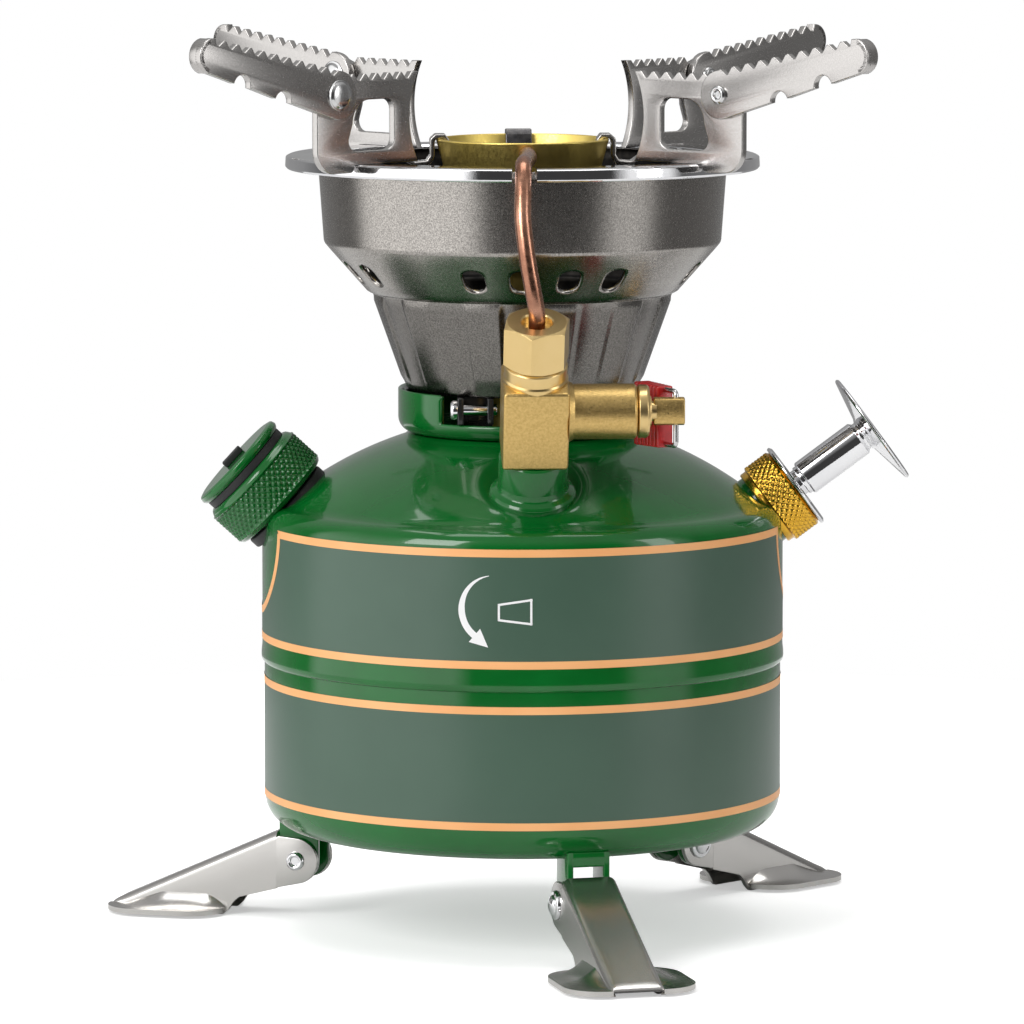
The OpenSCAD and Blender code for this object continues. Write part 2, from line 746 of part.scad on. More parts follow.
module flute(a) {
    slope = (cone_top_r - bowl_base_r) / (cone_top_z - bowl_z);
    low_z = bowl_z + 1.8;
    high_z = cone_top_z - 0.4;
    low_r = bowl_base_r + slope * (low_z - bowl_z);
    high_r = bowl_base_r + slope * (high_z - bowl_z);
    rotate([0, 0, a]) rotate_extrude(angle = 15, $fn = fine) polygon([
        [low_r - 0.4, low_z], [low_r, low_z], [low_r + flute_h, low_z + 0.6],
        [high_r + flute_h, high_z], [high_r - 0.4, high_z]
    ]);
}

module tube_notch() {
    translate([-2.4 - 0.85 * tube_bow, -rim_r - 2, bowl_top_z - 2]) cube([4.8, rim_r - bowl_top_r + 4, 8]);
}

module burner_bowl() {
    color("dimgray") difference() {
        union() {
            difference() {
                rotate_extrude($fn = fine) polygon(bowl_outer(0));
                rotate_extrude($fn = fine) polygon(bowl_outer(bowl_wall));
            }
            for (i = [0:11]) flute(i * 30 + 4);
        }
        for (g = [0:3]) for (i = [0:3]) bowl_hole(4.5 + 90 * g + (i - 1.5) * 15.5);
        translate([0, 0, bowl_z - 1]) cylinder(r = stem_r + braze_gap, h = 3, $fn = fine);
        tube_notch();
    }
}

module bowl_nut() {
    color("silver") difference() {
        translate([0, 0, bowl_z + bowl_wall]) linear_extrude(bowl_nut_h)
            polygon([for (i = [0:5]) bowl_nut_r * [cos(60 * i), sin(60 * i)]]);
        translate([0, 0, bowl_z]) cylinder(r = stem_r + braze_gap, h = bowl_nut_h + 2, $fn = fine);
    }
}

module bowl_clamp() {
    lug_h = 5.2;
    color("black") difference() {
        union() {
            translate([-clamp_w / 2 - clamp_x, clamp_y, bowl_z - 6.4]) cube([clamp_w, clamp_t, 6.4]);
            for (x = [-clamp_w / 2, clamp_w / 2 - clamp_t])
                translate([x - clamp_x, clamp_y - 3, bowl_z - lug_h])
                cube([clamp_t, 3.5, lug_h]);
        }
        on_clamp_screw() cylinder(r = screw_r + braze_gap, h = 20, center = true, $fn = fine);
    }
}

// Local +Z runs along the screw
module on_clamp_screw() {
    translate([-clamp_x, clamp_y - 1.4, bowl_z - 2.4]) rotate([0, 90, 0]) children();
}

module clamp_screw() {
    color("silver") on_clamp_screw() {
        translate([0, 0, -clamp_w / 2]) cylinder(r = screw_r, h = clamp_w + 0.8, $fn = fine);
        translate([0, 0, -clamp_w / 2 - 1.4]) cylinder(r = screw_r + 0.8, h = 1.4, $fn = fine);
    }
}

module rim_ring() {
    edge_r = rim_r - rim_roll_r;
    color("silver") difference() {
        rotate_extrude($fn = fine) {
            translate([bowl_top_r - 1.4, bowl_top_z]) square([edge_r - bowl_top_r + 1.4, rim_t]);
            difference() {
                translate([edge_r, rim_top_z - rim_roll_r]) circle(r = rim_roll_r, $fn = fine);
                translate([edge_r, rim_top_z - rim_roll_r]) circle(r = rim_roll_r - 0.6, $fn = fine);
            }
        }
        tube_notch();
    }
}

module burner_head() {
    t = stem_wall;
    top_z = burner_top_z;
    color("gold") difference() {
        rotate_extrude($fn = fine) polygon([
            [stem_r - t, dome_top_z + seat_wall], [stem_r + 2.2, dome_top_z + seat_wall],
            [stem_r + 2.2, bowl_z], [stem_r, bowl_z], [stem_r, flare_z], [flare_r, flare_top_z],
            [lip_r, lip_z], [burner_r, top_z], [burner_r - t, top_z], [lip_r - t, lip_z],
            [flare_r - t, flare_top_z + 0.4], [stem_r - t, flare_z + 0.5]
        ]);
        translate([0, -10, tube_run_z]) rotate([90, 0, 0])
            cylinder(r = tube_r + 0.15, h = 10, $fn = fine);
    }
}

module burner_jet() {
    color("gold") difference() {
        translate([0, 0, jet_z]) cylinder(r = stem_r - stem_wall - braze_gap, h = jet_h, $fn = fine);
        translate([0, 0, jet_z - 1]) cylinder(r = 0.8, h = jet_h + 2, $fn = fine);
    }
}

// Radial section of a bent arm that rises from the disc and hooks over the burner ring
function clip_outline() =
    let (r = burner_r, z = burner_top_z, t = clip_t, d = spreader_r, foot = spreader_z)
    [
        [d - 2, foot], [d + 1.6, foot], [d + 3.2, foot + 1.4], [r - 1.5, z - 0.4], [r - 1.2, z],
        [r - 0.2, z], [r + 0.3, z - 0.5], [r + 0.3, z - 3.4], [r + 1.2, z - 5.2],
        [r + 4.4, z - 5.4], [r + 6, z - 4.4], [r + 5.6, z - 4.4 + t], [r + 4.2, z - 5.4 + t],
        [r + 1.9, z - 5.2 + t], [r + 0.3 + t, z - 3.2], [r + 0.3 + t, z - 0.1], [r + 0.1, z + t],
        [r - 1.7, z + t], [r - 2.5, z - 0.1], [d + 2.3, foot + 1.9], [d + 1.2, foot + t], [d - 2, foot + t]
    ];

module flame_spreader() {
    slot_r = tube_r + 0.5;
    color("dimgray") {
        translate([0, 0, spreader_z]) linear_extrude(spreader_t) difference() {
            circle(r = spreader_r, $fn = fine);
            circle(r = slot_r, $fn = fine);
            translate([-slot_r, -7]) square([2 * slot_r, 7]);
        }
        for (a = [-90, 90, 180]) radial(a) translate([0, clip_w / 2, 0]) rotate([90, 0, 0])
            linear_extrude(clip_w) polygon(clip_outline());
    }
}

// Pointed teeth along the edge from p to q, cut to the right of that direction
function saw(p, q) =
    let (l = norm(q - p), n = floor(l / tooth_pitch), u = (q - p) / l, w = [u[1], -u[0]])
    [
        for (i = [0:n - 1]) for (t = [[0.2, 0], [0.3, 0], [0.7, tooth_h], [0.8, tooth_h]])
            p + (i + t[0]) * l / n * u + t[1] * w
    ];

function arc(c, r, a0, a1, n) = [
    for (i = [0:n]) c + r * [cos(a0 + (a1 - a0) * i / n), sin(a0 + (a1 - a0) * i / n)]
];

// Radial X, height Y
module stand_outline() {
    waist_r = 17.65;
    waist_z = (rim_top_z + stand_top_z) / 2;
    waist_a = asin((stand_top_z - rim_top_z) / 2 / waist_r);
    waist_x = stand_in_r - waist_r * cos(waist_a);
    ear_r = stand_out_r - arm_rivet_r;
    toe_r = 4.6;
    heel_r = 1.2;
    hook_in_r = rim_r + 0.4;
    difference() {
        polygon(concat(
            arc([waist_x, waist_z], waist_r, -waist_a, waist_a, 14),
            saw([stand_in_r + 0.6, stand_top_z], [arm_rivet_r - 3, stand_top_z]),
            arc([arm_rivet_r, stand_top_z - ear_r], ear_r, 90, 0, 10),
            arc([stand_out_r - toe_r, hook_z + toe_r], toe_r, 0, -90, 8),
            arc([hook_in_r + heel_r, hook_z + heel_r], heel_r, 270, 180, 6),
            [[hook_in_r, rim_top_z]]
        ));
        polygon(concat(
            arc([stand_in_r + 8.8, rim_top_z + 4.8], 2.2, 180, 270, 5),
            arc([rim_r - 0.2, rim_top_z + 4.8], 2.2, 270, 360, 5),
            arc([rim_r - 3.6, stand_top_z - 9.5], 4.5, 0, 90, 8),
            arc([stand_in_r + 8.8, stand_top_z - 7.2], 2.2, 90, 180, 5)
        ));
        translate([arm_rivet_r, arm_rivet_z]) circle(r = arm_rivet_shank_r + braze_gap, $fn = fine);
    }
}

// Puts local X along the radius and local Y up, with local Z across the plate towards its arm
module on_stand(i) {
    side = i < 2 ? 1 : -1;
    radial(stand_angles[i]) scale([1, side, 1]) rotate([90, 0, 0]) children();
}

module stand(i) {
    color("lightgray") on_stand(i) translate([0, 0, -stand_t / 2]) linear_extrude(stand_t) stand_outline();
}

// Rivet at the origin, tip along X, teeth on top
module arm_outline() {
    lean = 90 - asin((arm_r - arm_tip_r) / arm_tip_x);
    side = [cos(lean), sin(lean)];
    difference() {
        polygon(concat(
            arc([0, 0], arm_r, 360 - lean, lean, 32),
            saw(arm_r * side, [arm_tip_x, 0] + arm_tip_r * side),
            arc([arm_tip_x, 0], arm_tip_r, lean, -lean, 20)
        ));
        circle(r = arm_rivet_shank_r + run_play, $fn = fine);
        for (x = [14.2, 25.4]) translate([x, -arm_r + 0.25 + 0.06 * (x - 14.2)]) circle(r = 2.1, $fn = fine);
    }
}

module arm(i) {
    face = stand_t / 2 + arm_gap;
    color("lightgray") on_stand(i) translate([arm_rivet_r, arm_rivet_z, face]) rotate(arm_tilts[i]) {
        linear_extrude(arm_t) arm_outline();
        translate([0, 0, arm_t - return_t]) linear_extrude(return_t) polygon(concat(
            arc([arm_tip_x, 0], arm_tip_r, 60, -80, 16),
            arc([arm_tip_x, 0], arm_tip_r - 1.2, -80, 60, 16)
        ));
    }
}

module arm_rivets() {
    outer = stand_t / 2 + arm_gap + arm_t + head_gap;
    for (i = [0:3]) color("silver") on_stand(i) translate([arm_rivet_r, arm_rivet_z, 0]) {
        head = i < 2 ? small_head_r : wide_head_r;
        tail = i < 2 ? wide_head_r : small_head_r;
        translate([0, 0, -stand_t / 2])
            cylinder(r = arm_rivet_shank_r, h = outer + stand_t / 2 + 0.2, $fn = fine);
        translate([0, 0, outer]) cylinder(r1 = head, r2 = head * 0.75, h = head_t, $fn = fine);
        translate([0, 0, -stand_t / 2 - head_t])
            cylinder(r1 = tail * 0.75, r2 = tail, h = head_t, $fn = fine);
    }
}

module leg_bracket() {
    deep = 4.4;
    difference() {
        translate([leg_pivot_r, 0, leg_pivot_z]) {
            for (y = [ear_out, ear_t - ear_out]) translate([0, y, 0]) rotate([90, 0, 0]) linear_extrude(ear_t)
                difference() {
                    union() {
                        circle(r = deep, $fn = fine);
                        translate([-deep, 0]) square([deep + web_in[0] - 0.4, 16]);
                    }
                    circle(r = leg_rivet_r + braze_gap, $fn = fine);
                }
            translate([-deep, -ear_out, tank_base_z - leg_pivot_z - 1])
                cube([deep + web_in[0] - 0.4, 2 * ear_out, 8]);
        }
        lower_solid(-braze_gap);
    }
}

module leg_brackets() {
    color("darkgreen") for (a = leg_angles) radial(a) leg_bracket();
}

module leg_side_outline() {
    sole = -leg_pivot_z;
    difference() {
        union() {
            circle(r = leg_end_r, $fn = fine);
            polygon([
                [-1, -leg_end_r + 0.15], [heel_x - 2, -8], [heel_x, sole], [web_out[0] - 0.1, sole],
                [web_out[0] - 0.1, web_out[1]], [web_in[0], web_in[1] - 0.1], [-1.5, leg_end_r - 0.4]
            ]);
        }
        circle(r = leg_rivet_r + run_play, $fn = fine);
    }
}

module leg(i) {
    sole = -leg_pivot_z;
    toe_x = web_out[0] - 2.6;
    color("lightgray") radial(leg_angles[i]) translate([leg_pivot_r, 0, leg_pivot_z]) {
        for (y = [leg_w / 2, leg_t - leg_w / 2]) translate([0, y, 0])
            rotate([90, 0, 0]) linear_extrude(leg_t) leg_side_outline();
        translate([0, leg_w / 2, 0]) rotate([90, 0, 0]) linear_extrude(leg_w) polygon([
            web_in, web_out, [web_out[0], sole], [toe_x, sole],
            [toe_x, web_in[1] - web_drop - web_fall * (toe_x - web_in[0])], [web_in[0], web_in[1] - web_drop]
        ]);
        for (s = [0, 1]) mirror([0, s, 0]) translate([0, 0, sole]) linear_extrude(sole_t) intersection() {
            union() {
                for (x = [lobe_x, lobe_x + lobe_l]) translate([x, leg_w / 2])
                    circle(r = sole_flare, $fn = fine);
                translate([lobe_x, leg_w / 2]) square([lobe_l, sole_flare]);
            }
            translate([0, leg_w / 2 - 0.5]) square([60, 30]);
        }
    }
}

module leg_rivets() {
    outer = leg_w / 2 + head_gap;
    color("silver") for (a = leg_angles) radial(a) translate([leg_pivot_r, 0, leg_pivot_z])
        rotate([90, 0, 0]) {
        translate([0, 0, -outer - 0.2]) cylinder(r = leg_rivet_r, h = 2 * outer + 0.4, $fn = fine);
        translate([0, 0, outer]) cylinder(r1 = leg_head_r, r2 = leg_rivet_r, h = head_t, $fn = fine);
        translate([0, 0, -outer - head_t]) cylinder(r1 = leg_rivet_r, r2 = leg_head_r, h = head_t, $fn = fine);
    }
}

placed() tank_lower_shell();
placed() tank_upper_shell();
placed() filler_neck();
placed() filler_neck_ring();
placed() filler_gasket();
placed() filler_cap();
placed() filler_cap_seal();
placed() filler_cap_disc();
placed() filler_cap_tab();
placed() pump_neck();
placed() pump_barrel();
placed() pump_check_valve();
placed() pump_collar_nut();
placed() pump_washer();
placed() pump_rod();
placed() pump_cup();
placed() pump_handle();
placed() valve_boss();
placed() pickup_tube();
placed() pickup_wick();
placed() valve_body();
placed() tube_nut();
placed() tube_ferrule();
placed() gland_nut();
placed() gland_packing();
placed() valve_spindle();
placed() key_wire();
placed() key_grip();
placed() vapour_tube();
placed() burner_seat();
placed() bowl_clamp();
placed() clamp_screw();
placed() burner_bowl();
placed() bowl_nut();
placed() rim_ring();
placed() burner_head();
placed() burner_jet();
placed() flame_spreader();
placed() stand(0);  // stand_front_right
placed() stand(1);  // stand_rear_right
placed() stand(2);  // stand_rear_left
placed() stand(3);  // stand_front_left
placed() arm(0);  // arm_front_right
placed() arm(1);  // arm_rear_right
placed() arm(2);  // arm_rear_left
placed() arm(3);  // arm_front_left
placed() arm_rivets();
placed() leg_brackets();
placed() leg(0);  // leg_front
placed() leg(1);  // leg_right
placed() leg(2);  // leg_left
placed() leg_rivets();
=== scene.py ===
"""Looks of a gasoline camping stove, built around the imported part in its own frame.

Lengths are millimetres from the tank's axis at the ground, and piece() puts them into the part's frame.
Outlines and profiles are lists of (x, y) or (radius, height), with a corner's rounding as a third value.
"""

import json
import math

import bmesh
import bpy
import numpy as np
from mathutils import Matrix, Vector


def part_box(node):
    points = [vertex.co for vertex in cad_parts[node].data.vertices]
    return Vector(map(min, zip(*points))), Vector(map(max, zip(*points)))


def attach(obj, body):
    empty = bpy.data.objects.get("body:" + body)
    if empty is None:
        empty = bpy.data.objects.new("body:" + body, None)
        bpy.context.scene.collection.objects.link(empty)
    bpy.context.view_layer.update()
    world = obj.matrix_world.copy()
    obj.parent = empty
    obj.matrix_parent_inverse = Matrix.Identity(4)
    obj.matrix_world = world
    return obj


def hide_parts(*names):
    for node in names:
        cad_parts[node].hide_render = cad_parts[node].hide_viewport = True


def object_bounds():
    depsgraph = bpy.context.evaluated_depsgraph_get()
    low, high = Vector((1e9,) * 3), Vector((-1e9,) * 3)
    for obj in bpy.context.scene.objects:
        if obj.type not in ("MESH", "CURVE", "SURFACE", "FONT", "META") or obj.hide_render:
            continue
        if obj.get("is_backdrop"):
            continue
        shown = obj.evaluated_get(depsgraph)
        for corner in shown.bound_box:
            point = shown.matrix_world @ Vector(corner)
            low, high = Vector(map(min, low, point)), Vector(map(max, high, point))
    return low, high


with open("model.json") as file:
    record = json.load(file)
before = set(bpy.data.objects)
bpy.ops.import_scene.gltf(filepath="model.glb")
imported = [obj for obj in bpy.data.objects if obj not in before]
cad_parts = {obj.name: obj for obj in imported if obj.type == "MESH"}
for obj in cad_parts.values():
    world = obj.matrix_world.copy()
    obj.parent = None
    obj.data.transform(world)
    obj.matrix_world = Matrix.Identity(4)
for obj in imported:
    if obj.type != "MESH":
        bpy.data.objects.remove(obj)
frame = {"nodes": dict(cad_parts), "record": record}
CAD_LO, CAD_HI = (v.copy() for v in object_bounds())
tank_lo, tank_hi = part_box("tank_upper_shell")
AXIS = Vector(((tank_lo.x + tank_hi.x) / 2, (tank_lo.y + tank_hi.y) / 2, 0))
rad = math.radians


def turn(deg, axis):
    return Matrix.Rotation(rad(deg), 4, axis)


def move(x, y, z):
    return Matrix.Translation((x, y, z))


def radial(azimuth):
    return turn(azimuth - 90, "Z")


def added(name, data):
    o = bpy.data.objects.new(name, data)
    bpy.context.scene.collection.objects.link(o)
    return o


# Local frames of the sub-parts
ROW = Matrix.Translation(AXIS) @ Matrix.Scale(0.001, 4)
FILLER_X, FILLER_Z, FILLER_TILT = -46.7, 84.1, 42.5
PUMP_X, PUMP_Z, PUMP_TILT = 48.9, 83.6, 36.5
VALVE_Y, VALVE_Z, VALVE_LEAN = -41, 98.1, 23.5
SPINDLE_Z = 107.5
KEY_PIN, KEY_DROP, KEY_FOLD = 27, 1.5, 114
FILLER = move(FILLER_X, 0, FILLER_Z) @ turn(FILLER_TILT - 90, "Y")
PUMP = move(PUMP_X, 0, PUMP_Z) @ turn(90 - PUMP_TILT, "Y")
VALVE = move(0, VALVE_Y, VALVE_Z) @ turn(VALVE_LEAN, "X") @ move(0, 0, -VALVE_Z)
SPINDLE_AT = VALVE @ Vector((0, 0, SPINDLE_Z))
SPINDLE = Matrix.Translation(SPINDLE_AT) @ turn(90, "Y")
KEY = move(KEY_PIN, SPINDLE_AT.y, SPINDLE_AT.z - KEY_DROP) @ turn(KEY_FOLD, "Z")

# Azimuth of each leg, and azimuth, side of the folding arm and rise of the arm of each pot support
LEGS = {"leg_front": 12, "leg_right": 132, "leg_left": -108}
STANDS = {
    "front_right": (45, 1, 14),
    "rear_right": (134.5, 1, 10),
    "rear_left": (220.5, -1, 10),
    "front_left": (-47, -1, 14.5),
}


# Materials, with their lengths in metres
def fill(node, values):
    for key, value in values.items():
        node.inputs[key.replace("_", " ")].default_value = value


class Nodes:
    """Makes and links the nodes of one tree."""

    def __init__(self, tree):
        self.tree = tree

    def node(self, kind, operation=None, **values):
        n = self.tree.nodes.new("ShaderNode" + kind)
        if operation:
            n.operation = operation
        fill(n, values)
        return n

    def link(self, a, b):
        self.tree.links.new(a, b)

    def span(self, fac, low, high, a=0.3, b=0.7):
        """A value that runs from low to high while fac runs from a to b."""
        m = self.node("MapRange")
        for i, v in enumerate((a, b, low, high)):
            m.inputs[i + 1].default_value = v
        self.link(fac, m.inputs["Value"])
        return m.outputs["Result"]


class Shader(Nodes):
    def __init__(self, name):
        self.mat = bpy.data.materials.new(name)
        self.mat.use_nodes = True
        super().__init__(self.mat.node_tree)
        self.bsdf = self.tree.nodes["Principled BSDF"]
        self.place = self.node("TexCoord").outputs["Object"]

    def set(self, **values):
        fill(self.bsdf, values)
        return self

    def to(self, socket, name):
        self.link(socket, self.bsdf.inputs[name])

    def stretched(self, scale):
        m = self.node("Mapping", Scale=scale)
        self.link(self.place, m.inputs["Vector"])
        return m.outputs["Vector"]

    def noise(self, scale, detail, vector=None):
        n = self.node("TexNoise", Scale=scale, Detail=detail, Roughness=0.55)
        self.link(vector or self.place, n.inputs["Vector"])
        return n.outputs["Fac"]

    def ramp(self, fac, low, high, a=0.35, b=0.65):
        r = self.node("ValToRGB")
        for element, at, colour in zip(r.color_ramp.elements, (a, b), (low, high)):
            element.position = at
            element.color = colour
        self.link(fac, r.inputs["Fac"])
        return r.outputs["Color"]

    def painted_shade_below(self, colour, z0, z1, share):
        """Painted shade: the colour times a share below z0, fading out up to z1."""
        split = self.node("SeparateXYZ")
        self.link(self.place, split.inputs["Vector"])
        scale = self.node("VectorMath", "SCALE")
        self.link(colour, scale.inputs[0])
        self.link(self.span(split.outputs["Z"], share, 1.0, z0, z1), scale.inputs["Scale"])
        return scale.outputs["Vector"]

    def bump(self, height, strength, distance):
        b = self.node("Bump", Strength=strength, Distance=distance)
        self.link(height, b.inputs["Height"])
        self.to(b.outputs["Normal"], "Normal")


def grey(v):
    return (v, v, v, 1)


def paint(name, dark, light, rough=0.16, coat=0.7):
    s = Shader(name).set(Coat_Weight=coat, Coat_Roughness=0.05, Specular_IOR_Level=0.2)
    s.to(s.ramp(s.noise(55, 4), dark, light), "Base Color")
    s.to(s.span(s.noise(160, 3), rough * 0.8, rough * 1.3), "Roughness")
    s.bump(s.noise(620, 2), 0.05, 0.0004)
    return s.mat


def metal(name, dark, light, rough, grain=900, relief=0.06, spread=0.3, blotch=60, metallic=1, painted_shade=None):
    """Blotched metal with a grain in its roughness and relief; the last argument is painted shade, darker
    lower down, given as (z0, z1, share).
    """
    s = Shader(name).set(Metallic=metallic)
    colour = s.ramp(s.noise(blotch, 5), dark, light)
    s.to(s.painted_shade_below(colour, *painted_shade) if painted_shade else colour, "Base Color")
    s.to(s.span(s.noise(grain * 0.9, 3), rough * (1 - spread), rough * (1 + spread)), "Roughness")
    s.bump(s.noise(grain, 3), relief, 0.0003)
    return s.mat


def brushed(name, dark, light, rough, along, relief):
    s = Shader(name).set(Metallic=1)
    lines = s.noise(420, 4, s.stretched(along))
    s.to(s.ramp(lines, dark, light, 0.3, 0.7), "Base Color")
    s.to(s.span(lines, rough * 0.9, rough * 1.1), "Roughness")
    s.bump(lines, relief, 0.0002)
    return s.mat


def film(name, low, high, mottle, relief=None, **values):
    """A dyed or printed film; mottle is (scale, detail), relief is (scale, detail, strength, distance)."""
    s = Shader(name).set(**values)
    s.to(s.ramp(s.noise(*mottle), low, high), "Base Color")
    if relief:
        s.bump(s.noise(*relief[:2]), *relief[2:])
    return s.mat


def rubber():
    s = Shader("black rubber").set(Roughness=0.55, Base_Color=(0.012, 0.012, 0.013, 1))
    s.bump(s.noise(1400, 3), 0.15, 0.0002)
    return s.mat


GREEN = paint("green enamel", (0.001, 0.098, 0.012, 1), (0.002, 0.122, 0.017, 1))
BLACK = paint("black enamel", grey(0.008), grey(0.015), 0.3)
WICK = paint("woven wick", (0.7, 0.66, 0.58, 1), (0.82, 0.78, 0.7, 1), 0.8, coat=0)
BRASS_CAST = metal("forged brass", (0.55, 0.37, 0.13, 1), (0.67, 0.47, 0.18, 1), 0.36, 3000, 0.22, 0.25, 2000)
BRASS = metal("turned brass", (0.70, 0.50, 0.21, 1), (0.76, 0.56, 0.26, 1), 0.3, 3500, 0.02, 0.08)
BRASS_HOT = metal("burner brass", (0.66, 0.49, 0.12, 1), (0.84, 0.66, 0.20, 1), 0.42, 2600, 0.05, 0.2, 90)
GOLD = metal("gold finish", (0.72, 0.40, 0.04, 1), (0.86, 0.52, 0.08, 1), 0.2, 2500, 0.04)
CHROME = metal("bright plating", (0.72, 0.72, 0.74, 1), (0.86, 0.86, 0.87, 1), 0.06, 2500, 0.02)
STEEL = metal("satin steel", (0.46, 0.445, 0.43, 1), (0.52, 0.50, 0.485, 1), 0.26, 4200, 0.015, 0.06, 3600)
STEEL_LEG = brushed("leg steel", (0.54, 0.525, 0.505, 1), (0.58, 0.565, 0.545, 1), 0.24, (9, 9, 22), 0.008)
WIRE = metal("steel wire", grey(0.55), grey(0.7), 0.2)
# Painted shade: the bowl is half as dark below 124 mm, on its lower cone, fading out by 129 mm.
GUN = metal("grainy gunmetal", (0.20, 0.188, 0.175, 1), (0.46, 0.435, 0.405, 1), 0.25, 4200, 0.05, 0.15, 3800,
            painted_shade=(0.124, 0.129, 0.5))
COPPER = metal("drawn copper", (0.30, 0.14, 0.09, 1), (0.52, 0.27, 0.18, 1), 0.28, relief=0.05, blotch=140)
HOT = metal("heat-tinted steel", (0.05, 0.05, 0.06, 1), (0.2, 0.19, 0.18, 1), 0.32, blotch=120)
SOOT = metal("sooted steel", grey(0.006), (0.022, 0.02, 0.018, 1), 0.5, relief=0.1, spread=0.2, blotch=400)
LEATHER = metal("oiled leather", (0.2, 0.1, 0.05, 1), (0.3, 0.17, 0.08, 1), 0.6, metallic=0)
RUBBER = rubber()
RED = film("red wrap", (0.42, 0.006, 0.008, 1), (0.60, 0.012, 0.014, 1), (300, 3), (1500, 3, 0.1, 0.0002),
           Roughness=0.32, Coat_Weight=0.3)
LABEL = film("label film", (0.042, 0.092, 0.060, 1), (0.048, 0.102, 0.067, 1), (40, 3),
             (420, 2, 0.03, 0.0003), Roughness=0.38, Coat_Weight=0.25, Coat_Roughness=0.25)
ORANGE = film("orange print", (0.84, 0.40, 0.15, 1), (0.90, 0.46, 0.19, 1), (60, 2), Roughness=0.4)
WHITE = film("white print", grey(0.78), grey(0.84), (60, 2), Roughness=0.4)

LOOK = {
    "green_paint": GREEN, "black_rubber": RUBBER, "black_metal": BLACK, "brass": BRASS, "gold_knurl": GOLD,
    "bright_steel": CHROME, "steel": STEEL, "bowl_metal": GUN, "copper": COPPER, "red_grip": RED,
    "leather": LEATHER, "wick": WICK,
}
slot_of = {s["node"]: s["material_slot"] for s in frame["record"]["subparts"]}
for n, o in frame["nodes"].items():
    o.data.materials.clear()
    o.data.materials.append(LOOK[slot_of[n]])


# Outlines
def rounded(points, seg=5, closed=False):
    """A polyline whose corners (x, y, radius) become arcs."""
    n = len(points)
    out = []
    for i, p in enumerate(points):
        r = p[2] if len(p) > 2 else 0
        if r <= 0 or (not closed and i in (0, n - 1)):
            out.append((p[0], p[1]))
            continue
        b = Vector(p[:2])
        u = Vector(points[i - 1][:2]) - b
        v = Vector(points[(i + 1) % n][:2]) - b
        lu, lv = u.length, v.length
        u.normalize()
        v.normalize()
        half = math.acos(max(-1, min(1, u.dot(v)))) / 2
        if half > 1.565:
            out.append((b.x, b.y))
            continue
        d = min(r / math.tan(half), lu * 0.49, lv * 0.49)
        r = d * math.tan(half)
        c = b + (u + v).normalized() * (r / math.sin(half))
        s, e = b + u * d - c, b + v * d - c
        sweep_by = s.angle_signed(e)
        for k in range(seg + 1):
            cos, sin = math.cos(-sweep_by * k / seg), math.sin(-sweep_by * k / seg)
            out.append((c.x + s.x * cos - s.y * sin, c.y + s.x * sin + s.y * cos))
    return out


def rounded_box(w, h, r):
    corners = ((-1, -1), (1, -1), (1, 1), (-1, 1))
    return rounded([(x * w / 2, y * h / 2, r) for x, y in corners], 4, True)


def polar(r, a):
    return r * math.cos(rad(a)), r * math.sin(rad(a))


def arc(cx, cy, r, a0, a1, n):
    around = [polar(r, a0 + (a1 - a0) * i / n) for i in range(n + 1)]
    return [(cx + x, cy + y) for x, y in around]


def dense(profile, step):
    out = [profile[0]]
    for a, b in zip(profile, profile[1:]):
        k = max(1, int(math.dist(a, b) / step))
        out += [(a[0] + (b[0] - a[0]) * i / k, a[1] + (b[1] - a[1]) * i / k) for i in range(1, k + 1)]
    return out


def smooth_path(points, per=8):
    """Catmull-Rom through the points."""
    pts = [Vector(p) for p in points]
    out = []
    for i in range(len(pts) - 1):
        p = [pts[min(max(i + k, 0), len(pts) - 1)] for k in (-1, 0, 1, 2)]
        for k in range(per):
            t = k / per
            out.append(0.5 * (2 * p[1] + (p[2] - p[0]) * t + (2 * p[0] - 5 * p[1] + 4 * p[2] - p[3]) * t * t
                              + (3 * p[1] - p[0] - 3 * p[2] + p[3]) * t ** 3))
    return out + [pts[-1]]


def headings(path, closed=False):
    """The direction of a path at each of its points."""
    path = [Vector(p) for p in path]
    before = [path[-1 if closed else 0], *path[:-1]]
    after = [*path[1:], path[0 if closed else -1]]
    return [(b - a).normalized() for a, b in zip(before, after)]


# Shapes: every one is (points, faces)
def grid_faces(cols, rows, wrap_cols=False, wrap_rows=False):
    faces = []
    for i in range(cols if wrap_cols else cols - 1):
        j = (i + 1) % cols
        for k in range(rows if wrap_rows else rows - 1):
            m = (k + 1) % rows
            faces.append((i * rows + k, j * rows + k, j * rows + m, i * rows + m))
    return faces


def lathe(profile, n=128, a0=0.0, a1=360.0, closed=False):
    full = abs(a1 - a0) > 359.99
    cols = n if full else n + 1
    pts = []
    for i in range(cols):
        a = a0 + (a1 - a0) * i / n
        pts += [(*polar(r, a), z) for r, z in profile]
    return pts, grid_faces(cols, len(profile), full, closed)


def plate(outline, holes, t, bevel, seg=2):
    """A flat plate with rounded edges, in local XY, centred on local Z."""
    cu = bpy.data.curves.new("plate", "CURVE")
    cu.dimensions = "2D"
    cu.fill_mode = "BOTH"
    for loop in [outline, *holes]:
        sp = cu.splines.new("POLY")
        sp.points.add(len(loop) - 1)
        for p, q in zip(sp.points, loop):
            p.co = (q[0], q[1], 0, 1)
        sp.use_cyclic_u = True
    cu.extrude = t / 2 - bevel
    cu.bevel_depth = bevel
    cu.bevel_resolution = seg
    cu.offset = -bevel
    o = added("plate", cu)
    bpy.context.view_layer.update()
    me = bpy.data.meshes.new_from_object(o.evaluated_get(bpy.context.evaluated_depsgraph_get()))
    pts = [tuple(v.co) for v in me.vertices]
    faces = [tuple(p.vertices) for p in me.polygons]
    bpy.data.objects.remove(o)
    bpy.data.curves.remove(cu)
    bpy.data.meshes.remove(me)
    return pts, faces


